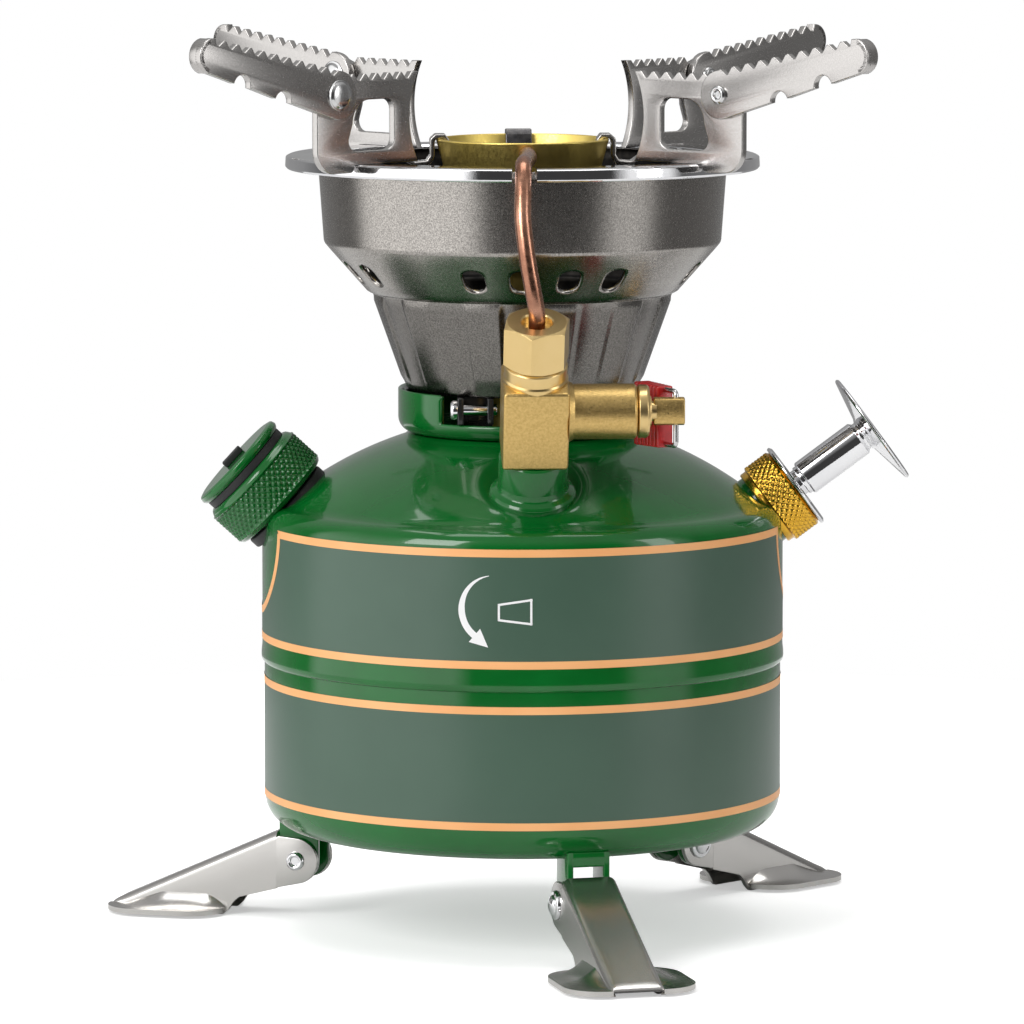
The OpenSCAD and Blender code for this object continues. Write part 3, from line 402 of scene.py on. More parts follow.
def block(w, d, h, bevel):
    """A box with rounded edges, centred on its own middle."""
    bm = bmesh.new()
    bmesh.ops.create_cube(bm, size=1)
    bmesh.ops.scale(bm, vec=(w, d, h), verts=bm.verts)
    bmesh.ops.bevel(bm, geom=list(bm.edges), offset=bevel, segments=3, affect="EDGES", profile=0.5)
    pts = [tuple(v.co) for v in bm.verts]
    faces = [tuple(v.index for v in f.verts) for f in bm.faces]
    bm.free()
    return pts, faces


def tube(path, r, n, closed=False):
    path = [Vector(p) for p in path]
    tan = headings(path, closed)
    m = len(path)
    ref = Vector((1, 0, 0)) if abs(tan[0].x) < 0.9 else Vector((0, 1, 0))
    u = (ref - tan[0] * ref.dot(tan[0])).normalized()
    pts = []
    for p, t in zip(path, tan):
        u = (u - t * u.dot(t)).normalized()
        v = t.cross(u)
        for k in range(n):
            a = 2 * math.pi * k / n
            pts.append(tuple(p + u * (r * math.cos(a)) + v * (r * math.sin(a))))
    faces = grid_faces(m, n, closed, True)
    if not closed:
        faces += [tuple(range(n)), tuple((m - 1) * n + n - 1 - k for k in range(n))]
    return pts, faces


def joined(*parts):
    """One shape from several, each (points, faces) or (points, faces, matrix)."""
    pts, faces = [], []
    for p, f, *m in parts:
        base = len(pts)
        pts += [tuple(m[0] @ Vector(q)) for q in p] if m else p
        faces += [tuple(base + i for i in face) for face in f]
    return pts, faces


def facing(pts, faces, out):
    """Faces turned so that each one looks along out(its centre)."""
    turned = []
    for face in faces:
        c = [Vector(pts[i]) for i in face]
        normal = sum((c[i - 1].cross(c[i]) for i in range(len(c))), Vector())
        turned.append(face if normal.dot(out(sum(c, Vector()) / len(c))) > 0 else face[::-1])
    return turned


def piece(name, shape, m, mat, body="stove", replaces=(), sharp=32, solid=0.0, out=None,
          crisp=False):
    """Adds a shape at m, riding on body. Sheets have a thickness, solid, and may have crisp rims."""
    name = name.replace(" ", "_")
    pts, faces = shape
    if out:
        faces = facing(pts, faces, out)
    full = np.array(ROW @ m)
    co = np.array(pts, float) @ full[:3, :3].T + full[:3, 3]
    me = bpy.data.meshes.new(name)
    me.from_pydata(co.tolist(), [], faces)
    bm = bmesh.new()
    bm.from_mesh(me)
    bmesh.ops.remove_doubles(bm, verts=bm.verts, dist=2e-7)
    if not out:
        bmesh.ops.recalc_face_normals(bm, faces=bm.faces)
    bm.to_mesh(me)
    rims = [e.index for e in bm.edges if e.is_boundary] if crisp else []
    bm.free()
    me.shade_smooth()
    me.set_sharp_from_angle(angle=rad(sharp))
    for i in rims:
        me.edges[i].use_edge_sharp = True
    me.materials.append(mat)
    o = added(name, me)
    if solid:
        s = o.modifiers.new("sheet", "SOLIDIFY")
        s.thickness = solid * 0.001
        s.offset = -1
    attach(o, body)
    if replaces:
        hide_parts(*replaces)
    return o


def outward(p):
    """The outer side of a cup round the axis."""
    return Vector((p.x, p.y, 0)).normalized() - Vector((0, 0, 0.2))


# Tank: two shells, with a hollow for the valve and a flat for the pump in the dome
TANK_R, LOWER_R = 51.4, 51.0
TANK_FOOT, TANK_FLOOR, WALL_Z = 20.4, 22.4, 58
SHOULDER_Z, SHOULDER_ROUND = 80.6, 4
SHOULDER_R = TANK_R - SHOULDER_ROUND
DOME_R, DOME_TOP = 74.8, 98.5
DOME_Z = SHOULDER_Z + SHOULDER_ROUND - math.sqrt(DOME_R ** 2 - SHOULDER_R ** 2)
VALVE_UP = VALVE.col[2].xyz.normalized()
PUMP_AT, PUMP_OUT = PUMP @ Vector(), PUMP.col[2].xyz.normalized()
HOLLOW_R, HOLLOW_DEPTH, HOLLOW_REACH, HOLLOW_BLEND = 31, 2, 26, 0.9
FLAT_R, FLAT_DEPTH, FLAT_REACH, FLAT_SLOPE, FLAT_BLEND = 8.8, 1.6, 14, 1.6, 0.6


def smooth_min(a, b, k):
    h = max(k - abs(a - b), 0) / k
    return min(a, b) - h * h * k / 4


def along_across(p, at, axis):
    """How far a point lies along an axis, and how far from it."""
    w = (p - at).dot(axis)
    return w, ((p - at) - axis * w).length


def hollow_centre():
    """Centre of the ball that presses the hollow into the dome."""
    foot = VALVE @ Vector((0, 0, VALVE_Z))
    along = foot.dot(VALVE_UP) - DOME_Z * VALVE_UP.z
    reach = math.sqrt(along ** 2 - (foot - Vector((0, 0, DOME_Z))).length_squared + DOME_R ** 2) - along
    return foot + VALVE_UP * (reach - HOLLOW_DEPTH + HOLLOW_R)


def upper_tank():
    lap = [(50.9, 53.4), (51.25, 53.55), (51.52, 53.9), (51.6, 54.5), (51.58, 55.4), (51.45, 56.6)]
    wall = [(TANK_R, WALL_Z + (SHOULDER_Z - WALL_Z) * i / 12) for i in range(13)]
    bend = [polar(SHOULDER_ROUND, a) for a in (12, 24, 36, 48, 60, 70, 78)]
    shoulder = [(SHOULDER_R + x, SHOULDER_Z + z) for x, z in bend]
    crown = [(47.6, 84.72), (47.0, 85.05)]
    crown += [(r, DOME_Z + math.sqrt(DOME_R ** 2 - r * r)) for r in np.linspace(46.3, 23.5, 58)]
    crown += [(22.6, 98.42), (21.5, DOME_TOP), (12, DOME_TOP), (0, DOME_TOP)]
    pts, faces = lathe(lap + wall + shoulder + crown, 288)
    ball = hollow_centre()
    pressed = []
    for p in map(Vector, pts):
        w, d = along_across(p, ball, VALVE_UP)
        if d < HOLLOW_REACH and p.z > 82:
            p += VALVE_UP * (smooth_min(w, -math.sqrt(HOLLOW_R ** 2 - d * d), HOLLOW_BLEND) - w)
        w, d = along_across(p, PUMP_AT, PUMP_OUT)
        if p.x > 30 and d < FLAT_REACH and w > -6:
            p += PUMP_OUT * (smooth_min(w, FLAT_SLOPE * max(0, d - FLAT_R) - FLAT_DEPTH, FLAT_BLEND) - w)
        pressed.append(tuple(p))
    return pressed, faces


def tank():
    piece("tank upper", upper_tank(), Matrix(), GREEN, replaces=["tank_upper_shell"],
          sharp=50)
    low = rounded([(0, TANK_FLOOR), (35.2, TANK_FLOOR, 1.4), (37.6, TANK_FOOT, 1.2),
                   (LOWER_R, TANK_FOOT, 6.5), (LOWER_R, 53.7, 0.2), (50.4, 54)], 10)
    piece("tank lower", lathe(dense(low, 2.5), 240), Matrix(), GREEN, replaces=["tank_lower_shell"],
          sharp=50)


# Labels: bare panels between thin printed lines, cut round the filler and the pump
FILM_UP, LINE_UP, SIGN_UP = 0.07, 0.1, 0.12
LINE_W, SIGN_LINE_W = 1.5, 0.42
UPPER_LABEL, LOWER_LABEL = (58.0, 81.0), (26.8, 50.7)
LABEL_END, LABEL_ROWS = 176, 6
ARROW_U, ARROW_Z, ARROW_RU, ARROW_RZ = -8.2, 69.6, 6.2, 6.4
SHAFT_W0, SHAFT_W1, HEAD_HALF, HEAD_BACK, HEAD_L = 0.12, 1.27, 1.7, 0.3, 3.2
LABEL_CUTS = ((-math.pi / 2 * TANK_R, 17.0), (math.pi / 2 * TANK_R, 15.0))


def on_wall(points, r):
    """Points (way round the wall, height) laid on a wall of radius r."""
    return [(r * math.sin(u / r), -r * math.cos(u / r), z) for u, z in points]


def ribbon(path, width):
    """Quads between a path in (u, z) and the same path moved to its right."""
    pts = []
    for (u, z), t in zip(path, headings(path)):
        pts += [(u, z), (u + t.y * width, z - t.x * width)]
    return pts, grid_faces(len(path), 2)


def label_top(u, top, cuts):
    for centre, cut in cuts:
        if abs(u - centre) < cut:
            return top + 0.4 - math.sqrt(cut * cut - (u - centre) ** 2)
    return top


def label(name, r, z0, z1, cuts):
    end = rad(LABEL_END) * r
    us = list(np.linspace(-end, end, 360))
    for centre, cut in cuts:
        us += [centre + cut * math.sin(rad(a)) for a in range(-90, 91, 5)]
    us = sorted(set(round(float(u), 4) for u in us))
    top = [(u, label_top(u, z1, cuts)) for u in us]
    grid = [(u, z0 + (z - z0) * k / LABEL_ROWS) for u, z in top for k in range(LABEL_ROWS + 1)]
    panel = (on_wall(grid, r + FILM_UP), grid_faces(len(us), LABEL_ROWS + 1))
    piece(name, panel, Matrix(), LABEL, sharp=80)
    lines = [ribbon(top, LINE_W), ribbon([(u, z0 + LINE_W) for u in us], LINE_W)]
    shape = joined(*[(on_wall(points, r + LINE_UP), faces) for points, faces in lines])
    piece(name + " lines", shape, Matrix(), ORANGE, sharp=80)


def valve_sign():
    """A curved arrow that grows wider to its head, and the outline of the key."""
    way = [(ARROW_U - ARROW_RU * math.sin(rad(a)), ARROW_Z + ARROW_RZ * math.cos(rad(a)))
           for a in range(8, 152, 6)]
    shaft = []
    for i, ((u, z), t) in enumerate(zip(way, headings(way))):
        side = t * (SHAFT_W0 + (SHAFT_W1 - SHAFT_W0) * min(1, i / 14)) / 2
        shaft += [(u + side.y, z - side.x), (u - side.y, z + side.x)]
    tip = Vector(way[-1])
    t = (tip - Vector(way[-3])).normalized()
    across, back = Vector((-t.y, t.x)) * HEAD_HALF, t * HEAD_BACK
    head = [tuple(tip - across - back), tuple(tip + across - back), tuple(tip + t * HEAD_L)]
    arrow = joined((on_wall(shaft, TANK_R + SIGN_UP), grid_faces(len(way), 2)),
                   (on_wall(head, TANK_R + SIGN_UP), [(0, 1, 2)]))
    piece("valve sign arrow", arrow, Matrix(), WHITE, sharp=80)
    corners = [(-7.4, 67.3), (-7.4, 70.6), (-0.8, 71.6), (-0.8, 66.5), (-7.4, 67.3)]
    key = []
    for p, q in zip(corners, corners[1:]):
        points, faces = ribbon([tuple(Vector(p).lerp(Vector(q), k / 12)) for k in range(13)], SIGN_LINE_W)
        key.append((on_wall(points, TANK_R + SIGN_UP), faces))
    piece("valve sign key", joined(*key), Matrix(), WHITE, sharp=80)


def labels():
    label("upper label", TANK_R, *UPPER_LABEL, LABEL_CUTS)
    label("lower label", LOWER_R, *LOWER_LABEL, ())
    valve_sign()


# Knurls: rows of (radius, height, share of the knurl), and count, pitch and depth of the diamonds
KNURL_EDGE, KNURL_STEP, KNURL_FLAT = 0.4, 0.2, 0.72
CAP_KNURL, COLLAR_KNURL = (46, 1.57, 0.5), (38, 1.44, 0.42)


def tri(x):
    return abs(2 * (x - math.floor(x)) - 1)


def knurled(rows, count, pitch, depth, per=6):
    cols = count * per
    pts = []
    for i in range(cols):
        a = i / cols
        for r, z, share in rows:
            h = 1 - max(tri(a * count + z / pitch), tri(a * count - z / pitch))
            r += (min(h, KNURL_FLAT) / KNURL_FLAT - 1) * depth * share
            pts.append((*polar(r, 360 * a), z))
    return pts, grid_faces(cols, len(rows), True)


def knurl_rows(r, z0, z1):
    k = int((z1 - z0) / KNURL_STEP)
    return [(r, z0 + (z1 - z0) * i / k, min(1, min(i, k - i) * KNURL_STEP / KNURL_EDGE))
            for i in range(k + 1)]


def plain(points):
    return [(r, z, 0) for r, z in points]


# Filler: a knurled cap with a ring, an end disc and a lug, and the ring at the foot of its neck
CAP_R, CAP_TOP = 11.5, 10.0
SEAL_R, SEAL_TOP = 9.95, 11.7
DISC_R, DISC_TOP = 10.55, 13.5
LUG_L, LUG_W, LUG_H = 4.7, 2, 1.4
FOOT_BORE, FOOT_R, FOOT_LO, FOOT_HI = 8.43, 9.9, -1.6, 0.7


def filler():
    rows = plain([(8.75, 7.5), (8.75, 1.3), (9.1, 1.0), (10.4, 1.0), (10.9, 1.2), (11.25, 1.6), (11.35, 1.9)])
    rows += knurl_rows(CAP_R, 2.0, 8.7)
    rows += plain([(11.2, 8.9), (11.0, 9.3), (10.7, 9.75), (10.3, CAP_TOP), (9.4, CAP_TOP), (0, CAP_TOP)])
    piece("filler cap body", knurled(rows, *CAP_KNURL), FILLER, GREEN, "cap", ["filler_cap"],
          60)
    seal = rounded([(0, CAP_TOP), (SEAL_R, CAP_TOP, 0.2), (SEAL_R, SEAL_TOP, 0.3), (0, SEAL_TOP)], 4)
    piece("filler cap ring", lathe(seal, 96), FILLER, RUBBER, "cap", ["filler_cap_seal"])
    disc = rounded([(0, SEAL_TOP), (10.1, SEAL_TOP, 0.3), (DISC_R, 12.4, 0.5), (10.3, 13.3, 0.4),
                    (9.3, 13.6, 0.4), (0, DISC_TOP)], 5)
    piece("filler cap end", lathe(disc, 96), FILLER, GREEN, "cap", ["filler_cap_disc"], 50)
    piece("filler cap lug", plate(rounded_box(LUG_L, LUG_W, 0.4), [], LUG_H, 0.25),
          FILLER @ move(0, 0, DISC_TOP + LUG_H / 2), RUBBER, "cap", ["filler_cap_tab"])
    foot = rounded([(FOOT_BORE, FOOT_LO), (FOOT_R, FOOT_LO, 0.4), (FOOT_R, FOOT_HI, 0.5),
                    (FOOT_BORE, FOOT_HI)], 6)
    piece("filler foot ring", lathe(foot, 96), FILLER, RUBBER, replaces=["filler_neck_ring"])


# Pump: a knurled collar, a washer, the rod and the handle with its flared disc
COLLAR_R, COLLAR_TOP, COLLAR_BORE = 8.7, 6.0, 7.5
WASHER_R, WASHER_LO, WASHER_HI, WASHER_BORE = 9.1, 6.02, 7.0, 2.75
ROD_R, ROD_END, ROD_HEAD_R = 2.7, -50, 3.05
SLEEVE_R, SLEEVE_LO, SLEEVE_HI = 3.6, 8.6, 22.2
FLARE_R = 11.9


def pump():
    rows = plain([(COLLAR_BORE, 1.0), (COLLAR_BORE, -1.3), (7.9, -1.3), (8.1, -1.1), (8.1, 0.0), (8.3, 0.1),
                  (8.5, 0.2)])
    rows += knurl_rows(COLLAR_R, 0.3, 5.5)
    rows += plain([(8.5, 5.65), (8.2, COLLAR_TOP), (3.4, COLLAR_TOP)])
    piece("pump collar", knurled(rows, *COLLAR_KNURL), PUMP, GOLD, replaces=["pump_collar_nut"],
          sharp=60)
    washer = rounded([(WASHER_BORE, WASHER_LO), (8.9, WASHER_LO, 0.15), (WASHER_R, 6.25, 0.15),
                      (WASHER_R, 6.6, 0.2), (8.5, WASHER_HI, 0.4), (WASHER_BORE, WASHER_HI)], 4)
    piece("pump end washer", lathe(washer, 128), PUMP, CHROME, replaces=["pump_washer"])
    handle = rounded([
        (0, SLEEVE_LO), (3.3, SLEEVE_LO, 0.2), (SLEEVE_R, 8.9, 0.2), (SLEEVE_R, 21.9, 0.2),
        (3.3, SLEEVE_HI, 0.1), (3.0, 22.5, 0.1), (3.0, 23.0, 0.2), (3.7, 23.35, 0.6), (11.6, 24.85, 0.3),
        (FLARE_R, 25.1, 0.15), (FLARE_R, 25.4, 0.15), (11.6, 25.7, 0.2), (9.9, 25.6, 1.5), (4, 24.8, 2),
        (0, 24.5)], 6)
    piece("pump knob", lathe(handle, 144), PUMP, CHROME, "pump", ["pump_handle"], 30)
    rod = rounded([(0, ROD_END), (ROD_R, ROD_END), (ROD_R, 7.8, 0.1), (ROD_HEAD_R, 7.9, 0.1),
                   (ROD_HEAD_R, 8.7)], 3)
    piece("pump shaft", lathe(rod, 64), PUMP, CHROME, "pump", ["pump_rod"])


# Valve: heights along its own leaning axis, lengths of the spindle from the block's middle
BLOCK_W, BLOCK_H = 12.6, 16.6
BLOCK_MID = VALVE_Z + BLOCK_H / 2
ARM_R, ARM_L = 5.3, 19.4
NECK_R, NECK_LO, NECK_STEP, THREAD_R, THREAD_TOP = 6.25, 114, 118.25, 4.6, 122.6
NUT_AF, NUT_LO, NUT_HI, NUT_BORE, NUT_TURN = 11.6, 118.3, 127, 3.0, -71
NUT_CONE, NUT_STEPS = 0.6, 6
GLAND_BORE, GLAND_R, GLAND_LO = 2.05, 5.1, 19.5
STEM_R, STEM_END = 2.0, 23.2
BLADE_R, BLADE_L, BLADE_AT, BLADE_FLAT = 2.7, 6.0, 25.65, -1.5


def hex_nut():
    """A hexagon whose corners are turned off by a cone at both ends."""
    apothem = NUT_AF / 2
    corner = apothem / math.cos(rad(30))
    angles = [360 * i / 192 for i in range(192)]
    steps = [k / NUT_STEPS for k in range(NUT_STEPS + 1)]
    ends = []
    for z, cone, cut in ((NUT_LO, NUT_CONE, 0.1), (NUT_HI, -NUT_CONE, 0.15)):
        ends.append([(z + cone * k, apothem - cut + (corner - apothem + cut) * k) for k in steps])
    rings = []
    for z, limit in ends[0] + ends[1][::-1]:
        rings.append([(min(apothem / math.cos(rad((a + 30) % 60 - 30)), limit), z) for a in angles])
    for r, z in ((NUT_BORE + 0.25, NUT_HI), (NUT_BORE, NUT_HI - 0.25), (NUT_BORE, NUT_HI - 3.4)):
        rings.append([(r, z)] * len(angles))
    pts = []
    for i, a in enumerate(angles):
        pts += [(*polar(ring[i][0], a), ring[i][1]) for ring in rings]
    return pts, grid_faces(len(angles), len(rings), True)


def valve():
    boss = rounded([(4.1, 98.05), (6.4, 98.05, 0.3), (6.7, 97.7, 0.3), (6.75, 92.4, 2), (6.9, 91.2, 0.8),
                    (7.9, 90.6, 0.5), (8.3, 90.1, 0.4), (8.3, 86.5)], 6)
    piece("valve foot", lathe(boss, 96), VALVE, GREEN, replaces=["valve_boss"], sharp=60)
    side_arm = rounded([(0, 3), (ARM_R, 3), (ARM_R, 18.9, 0.4), (4.9, ARM_L, 0.2), (2.1, ARM_L)], 4)
    fillet = rounded([(6.6, 6.2), (6.0, 6.2, 0.5), (ARM_R, 7.4)], 5)
    body = joined((*block(BLOCK_W, BLOCK_W, BLOCK_H, 0.6), VALVE @ move(0, 0, BLOCK_MID)),
                  (*lathe(side_arm, 80), SPINDLE), (*lathe(fillet, 80), SPINDLE))
    piece("valve block", body, Matrix(), BRASS_CAST, replaces=["valve_body"], sharp=40)
    neck = rounded([(0, NECK_LO), (NECK_R, NECK_LO, 0.2), (NECK_R, 115.2, 0.3), (6.0, 115.6, 0.3),
                    (6.1, 117.9, 0.3), (5.6, NECK_STEP, 0.2), (THREAD_R, NECK_STEP), (THREAD_R, THREAD_TOP),
                    (1.5, THREAD_TOP)], 4)
    piece("valve neck", lathe(neck, 96), VALVE, BRASS, sharp=40)
    piece("tube union nut", hex_nut(), VALVE @ turn(NUT_TURN, "Z"), BRASS, replaces=["tube_nut"],
          sharp=20)
    gland = rounded([(GLAND_BORE, GLAND_LO), (4.6, GLAND_LO, 0.2), (GLAND_R, 19.8, 0.2), (GLAND_R, 21.3, 0.3),
                     (4.7, 21.8, 0.2), (3.0, 21.9, 0.1), (2.9, 22.2), (GLAND_BORE, 22.3)], 4)
    piece("gland collar", lathe(gland, 96), SPINDLE, BRASS, replaces=["gland_nut"])
    stem = rounded([(0, 2), (0.5, 2), (STEM_R, 5), (STEM_R, STEM_END)], 3)
    piece("spindle stem", lathe(stem, 48), SPINDLE, BRASS, "spindle", sharp=40)
    blade = arc(0, 0, BLADE_R, 212, -32, 61)
    blade += [(2.2, BLADE_FLAT), (0, BLADE_FLAT), (-2.2, BLADE_FLAT)]
    piece("spindle end", plate(blade, [], BLADE_L, 0.3, 3), SPINDLE @ move(0, 0, BLADE_AT), BRASS_CAST,
          "spindle", ["valve_spindle"], 40)


# Vapour tube: up from the nut, bowed to the left, over the rim and down in the middle of the burner
TUBE_R, RUN_Z, RIM_Y, BOW = 1.6, 154.0, -46.5, 2.4
TUBE_FOOT = (122.9, 126, 128)
TUBE_RISE = ((0.15, -0.9, 0.09), (0.4, -1.4, 0.2), (0.7, -1.3, 0.34), (0.95, -0.4, 0.5), (1.1, 1.1, 0.66),
             (1.05, 3, 0.8))
TUBE_RUN = ((1, -1.9, -3.1), (0.95, -0.2, -1.2), (0.9, 2, -0.3), (0.75, 5, 0), (0.3, 14, 0), (0.06, 21, 0),
            (0, 25, 0))
TUBE_DROP = ((-13, -0.1), (-8, -1), (-4, -3.4), (-1.2, -7), (0, -12), (0, -21), (0, -30))


def vapour_tube():
    points = [VALVE @ Vector((0, 0, z)) for z in TUBE_FOOT]
    nose = points[-1]
    rise = RUN_Z - nose.z
    points += [nose + Vector((-x * BOW, y, z * rise)) for x, y, z in TUBE_RISE]
    points += [Vector((-x * BOW, RIM_Y + y, RUN_Z + z)) for x, y, z in TUBE_RUN]
    points += [Vector((0, y, RUN_Z + z)) for y, z in TUBE_DROP]
    piece("copper tube", tube(smooth_path(points), TUBE_R, 28), Matrix(), COPPER, replaces=["vapour_tube"],
          sharp=60)


# Valve key: a wire loop with a ribbed wrap
WIRE_R, LOOP_L = 0.5, 14
RIBS, RIB_X, RIB_PITCH, RIB_W, RIB_D = 7, 5.0, 1.4, 1.56, 3.4
RIB_H, RIB_GROWTH = 11.8, 0.07


def valve_key():
    loop = rounded([(x, z, 0.9) for x, z in ((0, -5.2), (0, 5.2), (LOOP_L, 5.3), (LOOP_L, -5.3))], 5, True)
    wire = tube([(x, 0, z) for x, z in loop], WIRE_R, 14, True)
    piece("key loop", wire, KEY, WIRE, "key", ["key_wire"], 60)
    ribs = []
    for i in range(RIBS):
        rib = plate(rounded_box(RIB_W, RIB_D, 0.5), [], RIB_H + RIB_GROWTH * i, 0.35, 3)
        ribs.append((*rib, move(RIB_X + i * RIB_PITCH, 0, 0)))
    piece("key wrap", joined(*ribs), KEY, RED, "key", ["key_grip"], 40)


# Burner seat: a cup with an opening at the front, and the clamp with its screw in the opening
SEAT_R, SEAT_LO, SEAT_HI, SEAT_SHEET = 24.5, 98.6, 107.1, 1.2
SEAT_GAP, SEAT_SILL = 17, 101.7
CLAMP_X, CLAMP_SHEET, CLAMP_HALF = -10.2, 1.2, 2.9


def seat():
    profile = rounded([(0, SEAT_LO), (SEAT_R, SEAT_LO, 3), (SEAT_R, SEAT_HI, 0.15),
                       (SEAT_R - 0.2, SEAT_HI + 0.2)], 8)
    pts, faces = lathe(dense(profile, 0.8), 180)
    kept = []
    for face in faces:
        x, y, z = np.mean([pts[i] for i in face], axis=0)
        if not (y < 0 and abs(x) < SEAT_GAP and z > SEAT_SILL and math.hypot(x, y) > 20):
            kept.append(face)
    return pts, kept


def burner_seat():
    piece("burner cup", seat(), Matrix(), GREEN, replaces=["burner_seat"], sharp=50,
          solid=SEAT_SHEET, out=outward)
    wall = block(CLAMP_SHEET, 3.5, 5.2, 0.25)
    walls = [(*wall, move(CLAMP_X + s * CLAMP_HALF, -19.45, 104.4)) for s in (-1, 1)]
    clamp = joined((*block(7, CLAMP_SHEET, 6.4, 0.25), move(CLAMP_X, -17.6, 103.8)), *walls)
    piece("seat clamp", clamp, Matrix(), BLACK, replaces=["bowl_clamp"])
    screw = rounded([(0, -4.9), (1.5, -4.9, 0.4), (1.9, -4.4, 0.3), (1.9, -3.5, 0.1), (1.1, -3.5),
                     (1.1, 4.2, 0.2), (0, 4.3)], 4)
    piece("seat clamp screw", lathe(screw, 48), move(CLAMP_X, -19.6, 104.6) @ turn(90, "Y"), CHROME,
          replaces=["clamp_screw"])


# Bowl: one sheet with flutes below and four groups of vents on its sloped belt
BOWL_SHEET = 0.8
RIM_FROM, RIM_TO = -89.56, 264.52
BELT_LO, BELT_HI = (30.7, 126.6), (37.7, 134.5)
BELT_MID = 34.2
BELT_L = math.dist(BELT_LO, BELT_HI)
VENT_GROUPS, VENTS, VENT_PITCH, VENT_COLS, VENT_ROWS = 4, 4, 15.5, 16, 10
VENT_STEP = VENT_PITCH / VENT_COLS
VENT_R, VENT_STRAIGHT = 2.2, 0.8
FIRST_VENT = 4.5 - 90 - 2 * VENT_PITCH
GAP_COLS, GAP_STEP = 28, 1.0
FLUTE_AT, FLUTE_PITCH, FLUTE_HALF, FLUTE_LO, FLUTE_HI, FLUTE_UP = 11.5, 30, 7.9, 108.6, 125.9, 0.4


def on_belt(k):
    """Radius and height at a share k of the belt's width."""
    return tuple(low + (high - low) * k for low, high in zip(BELT_LO, BELT_HI))


def vent_radius(u, v):
    """Distance from a vent's centre to its edge in the direction (u, v)."""
    low, high = 0.0, 6.0
    for _ in range(30):
        mid = (low + high) / 2
        inside = math.hypot(mid * u, max(abs(mid * v) - VENT_STRAIGHT, 0)) < VENT_R
        low, high = (mid, high) if inside else (low, mid)
    return low


def flute(a, z):
    """Height of a pressed pad at this polar angle and height."""
    d = (a - FLUTE_AT) % FLUTE_PITCH
    d = min(d, FLUTE_PITCH - d)
    across = min(1, max(0, FLUTE_HALF - d))
    along = min(1, max(0, (z - FLUTE_LO) / 0.8), max(0, (FLUTE_HI - z) / 0.9))
    return FLUTE_UP * across * along


def bowl_columns():
    """Polar angles of the sheet's columns, and each vent's first column and middle."""
    angles, vents = [], []
    a = FIRST_VENT
    for _ in range(VENT_GROUPS):
        for _ in range(VENTS):
            vents.append((len(angles), a + VENT_PITCH / 2))
            for _ in range(VENT_COLS):
                angles.append(a)
                a += VENT_STEP
        for _ in range(GAP_COLS):
            angles.append(a)
            a += GAP_STEP
    return angles, vents


def bowl():
    lower = rounded([(6.1, 107), (22.7, 107, 1.2), (29.5, 126, 0.4), (30.3, 126.35, 0.3), BELT_LO], 5)
    lower = dense(lower, 1.1)
    belt = [on_belt(k / VENT_ROWS) for k in range(1, VENT_ROWS + 1)]
    upper = dense(rounded([BELT_HI, (39.05, 136.1, 1.6), (40.2, 152.1)], 8), 2.2)[1:]
    profile = lower + belt + upper
    first = len(lower) - 1
    angles, vents = bowl_columns()
    n, rows = len(angles), len(profile)
    pts = []
    for a in angles:
        for r, z in profile:
            r = r + flute(a, z) if 20 < r < 30 else r
            pts.append((*polar(r, a), z))
    cut = {(c + i, first + k) for c, _ in vents for i in range(VENT_COLS) for k in range(VENT_ROWS)}
    cells = [(i, k) for i in range(n) for k in range(rows - 1)]
    faces = [face for cell, face in zip(cells, grid_faces(n, rows, True)) if cell not in cut]
    for c, centre in vents:
        edge = [(i, 0) for i in range(VENT_COLS)] + [(VENT_COLS, k) for k in range(VENT_ROWS)]
        edge += [(VENT_COLS - i, VENT_ROWS - k) for i, k in edge]
        ring = [((c + i) % n) * rows + first + k for i, k in edge]
        for share in (0.45, 0.8, 1.0):
            base = len(pts)
            for i, k in edge:
                du, v = i * VENT_STEP - VENT_PITCH / 2, (k / VENT_ROWS - 0.5) * BELT_L
                u = du * rad(1) * BELT_MID
                d = math.hypot(u, v)
                inward = (d + (vent_radius(u / d, v / d) - d) * share) / d
                r, z = on_belt(v * inward / BELT_L + 0.5)
                pts.append((*polar(r, centre + du * inward), z))
            new = list(range(base, len(pts)))
            faces += [(ring[i - 1], ring[i], new[i], new[i - 1]) for i in range(len(ring))]
            ring = new
    return pts, faces


def burner_bowl():
    sheet = piece("bowl", bowl(), Matrix(), GUN, replaces=["burner_bowl"], sharp=40,
                  solid=BOWL_SHEET, out=outward)
    sheet.data.materials.append(SOOT)
    sheet.modifiers["sheet"].material_offset = 1
    rim = rounded([
        (38.9, 152.3), (38.9, 153.1, 0.2), (45.9, 153.1, 0.3), (46.5, 152.8, 0.3), (46.6, 150.95, 0.35),
        (46.2, 150.5, 0.3), (45.6, 150.5, 0.3), (45.2, 150.8, 0.2), (45.3, 151.9, 0.4), (44.8, 152.3, 0.3),
    ], 5, True)
    pts, faces = lathe(rim, 240, RIM_FROM, RIM_TO, True)
    faces += [tuple(range(len(rim))), tuple(len(pts) - 1 - k for k in range(len(rim)))]
    piece("bowl rim", (pts, faces), Matrix(), CHROME, replaces=["rim_ring"], sharp=45)


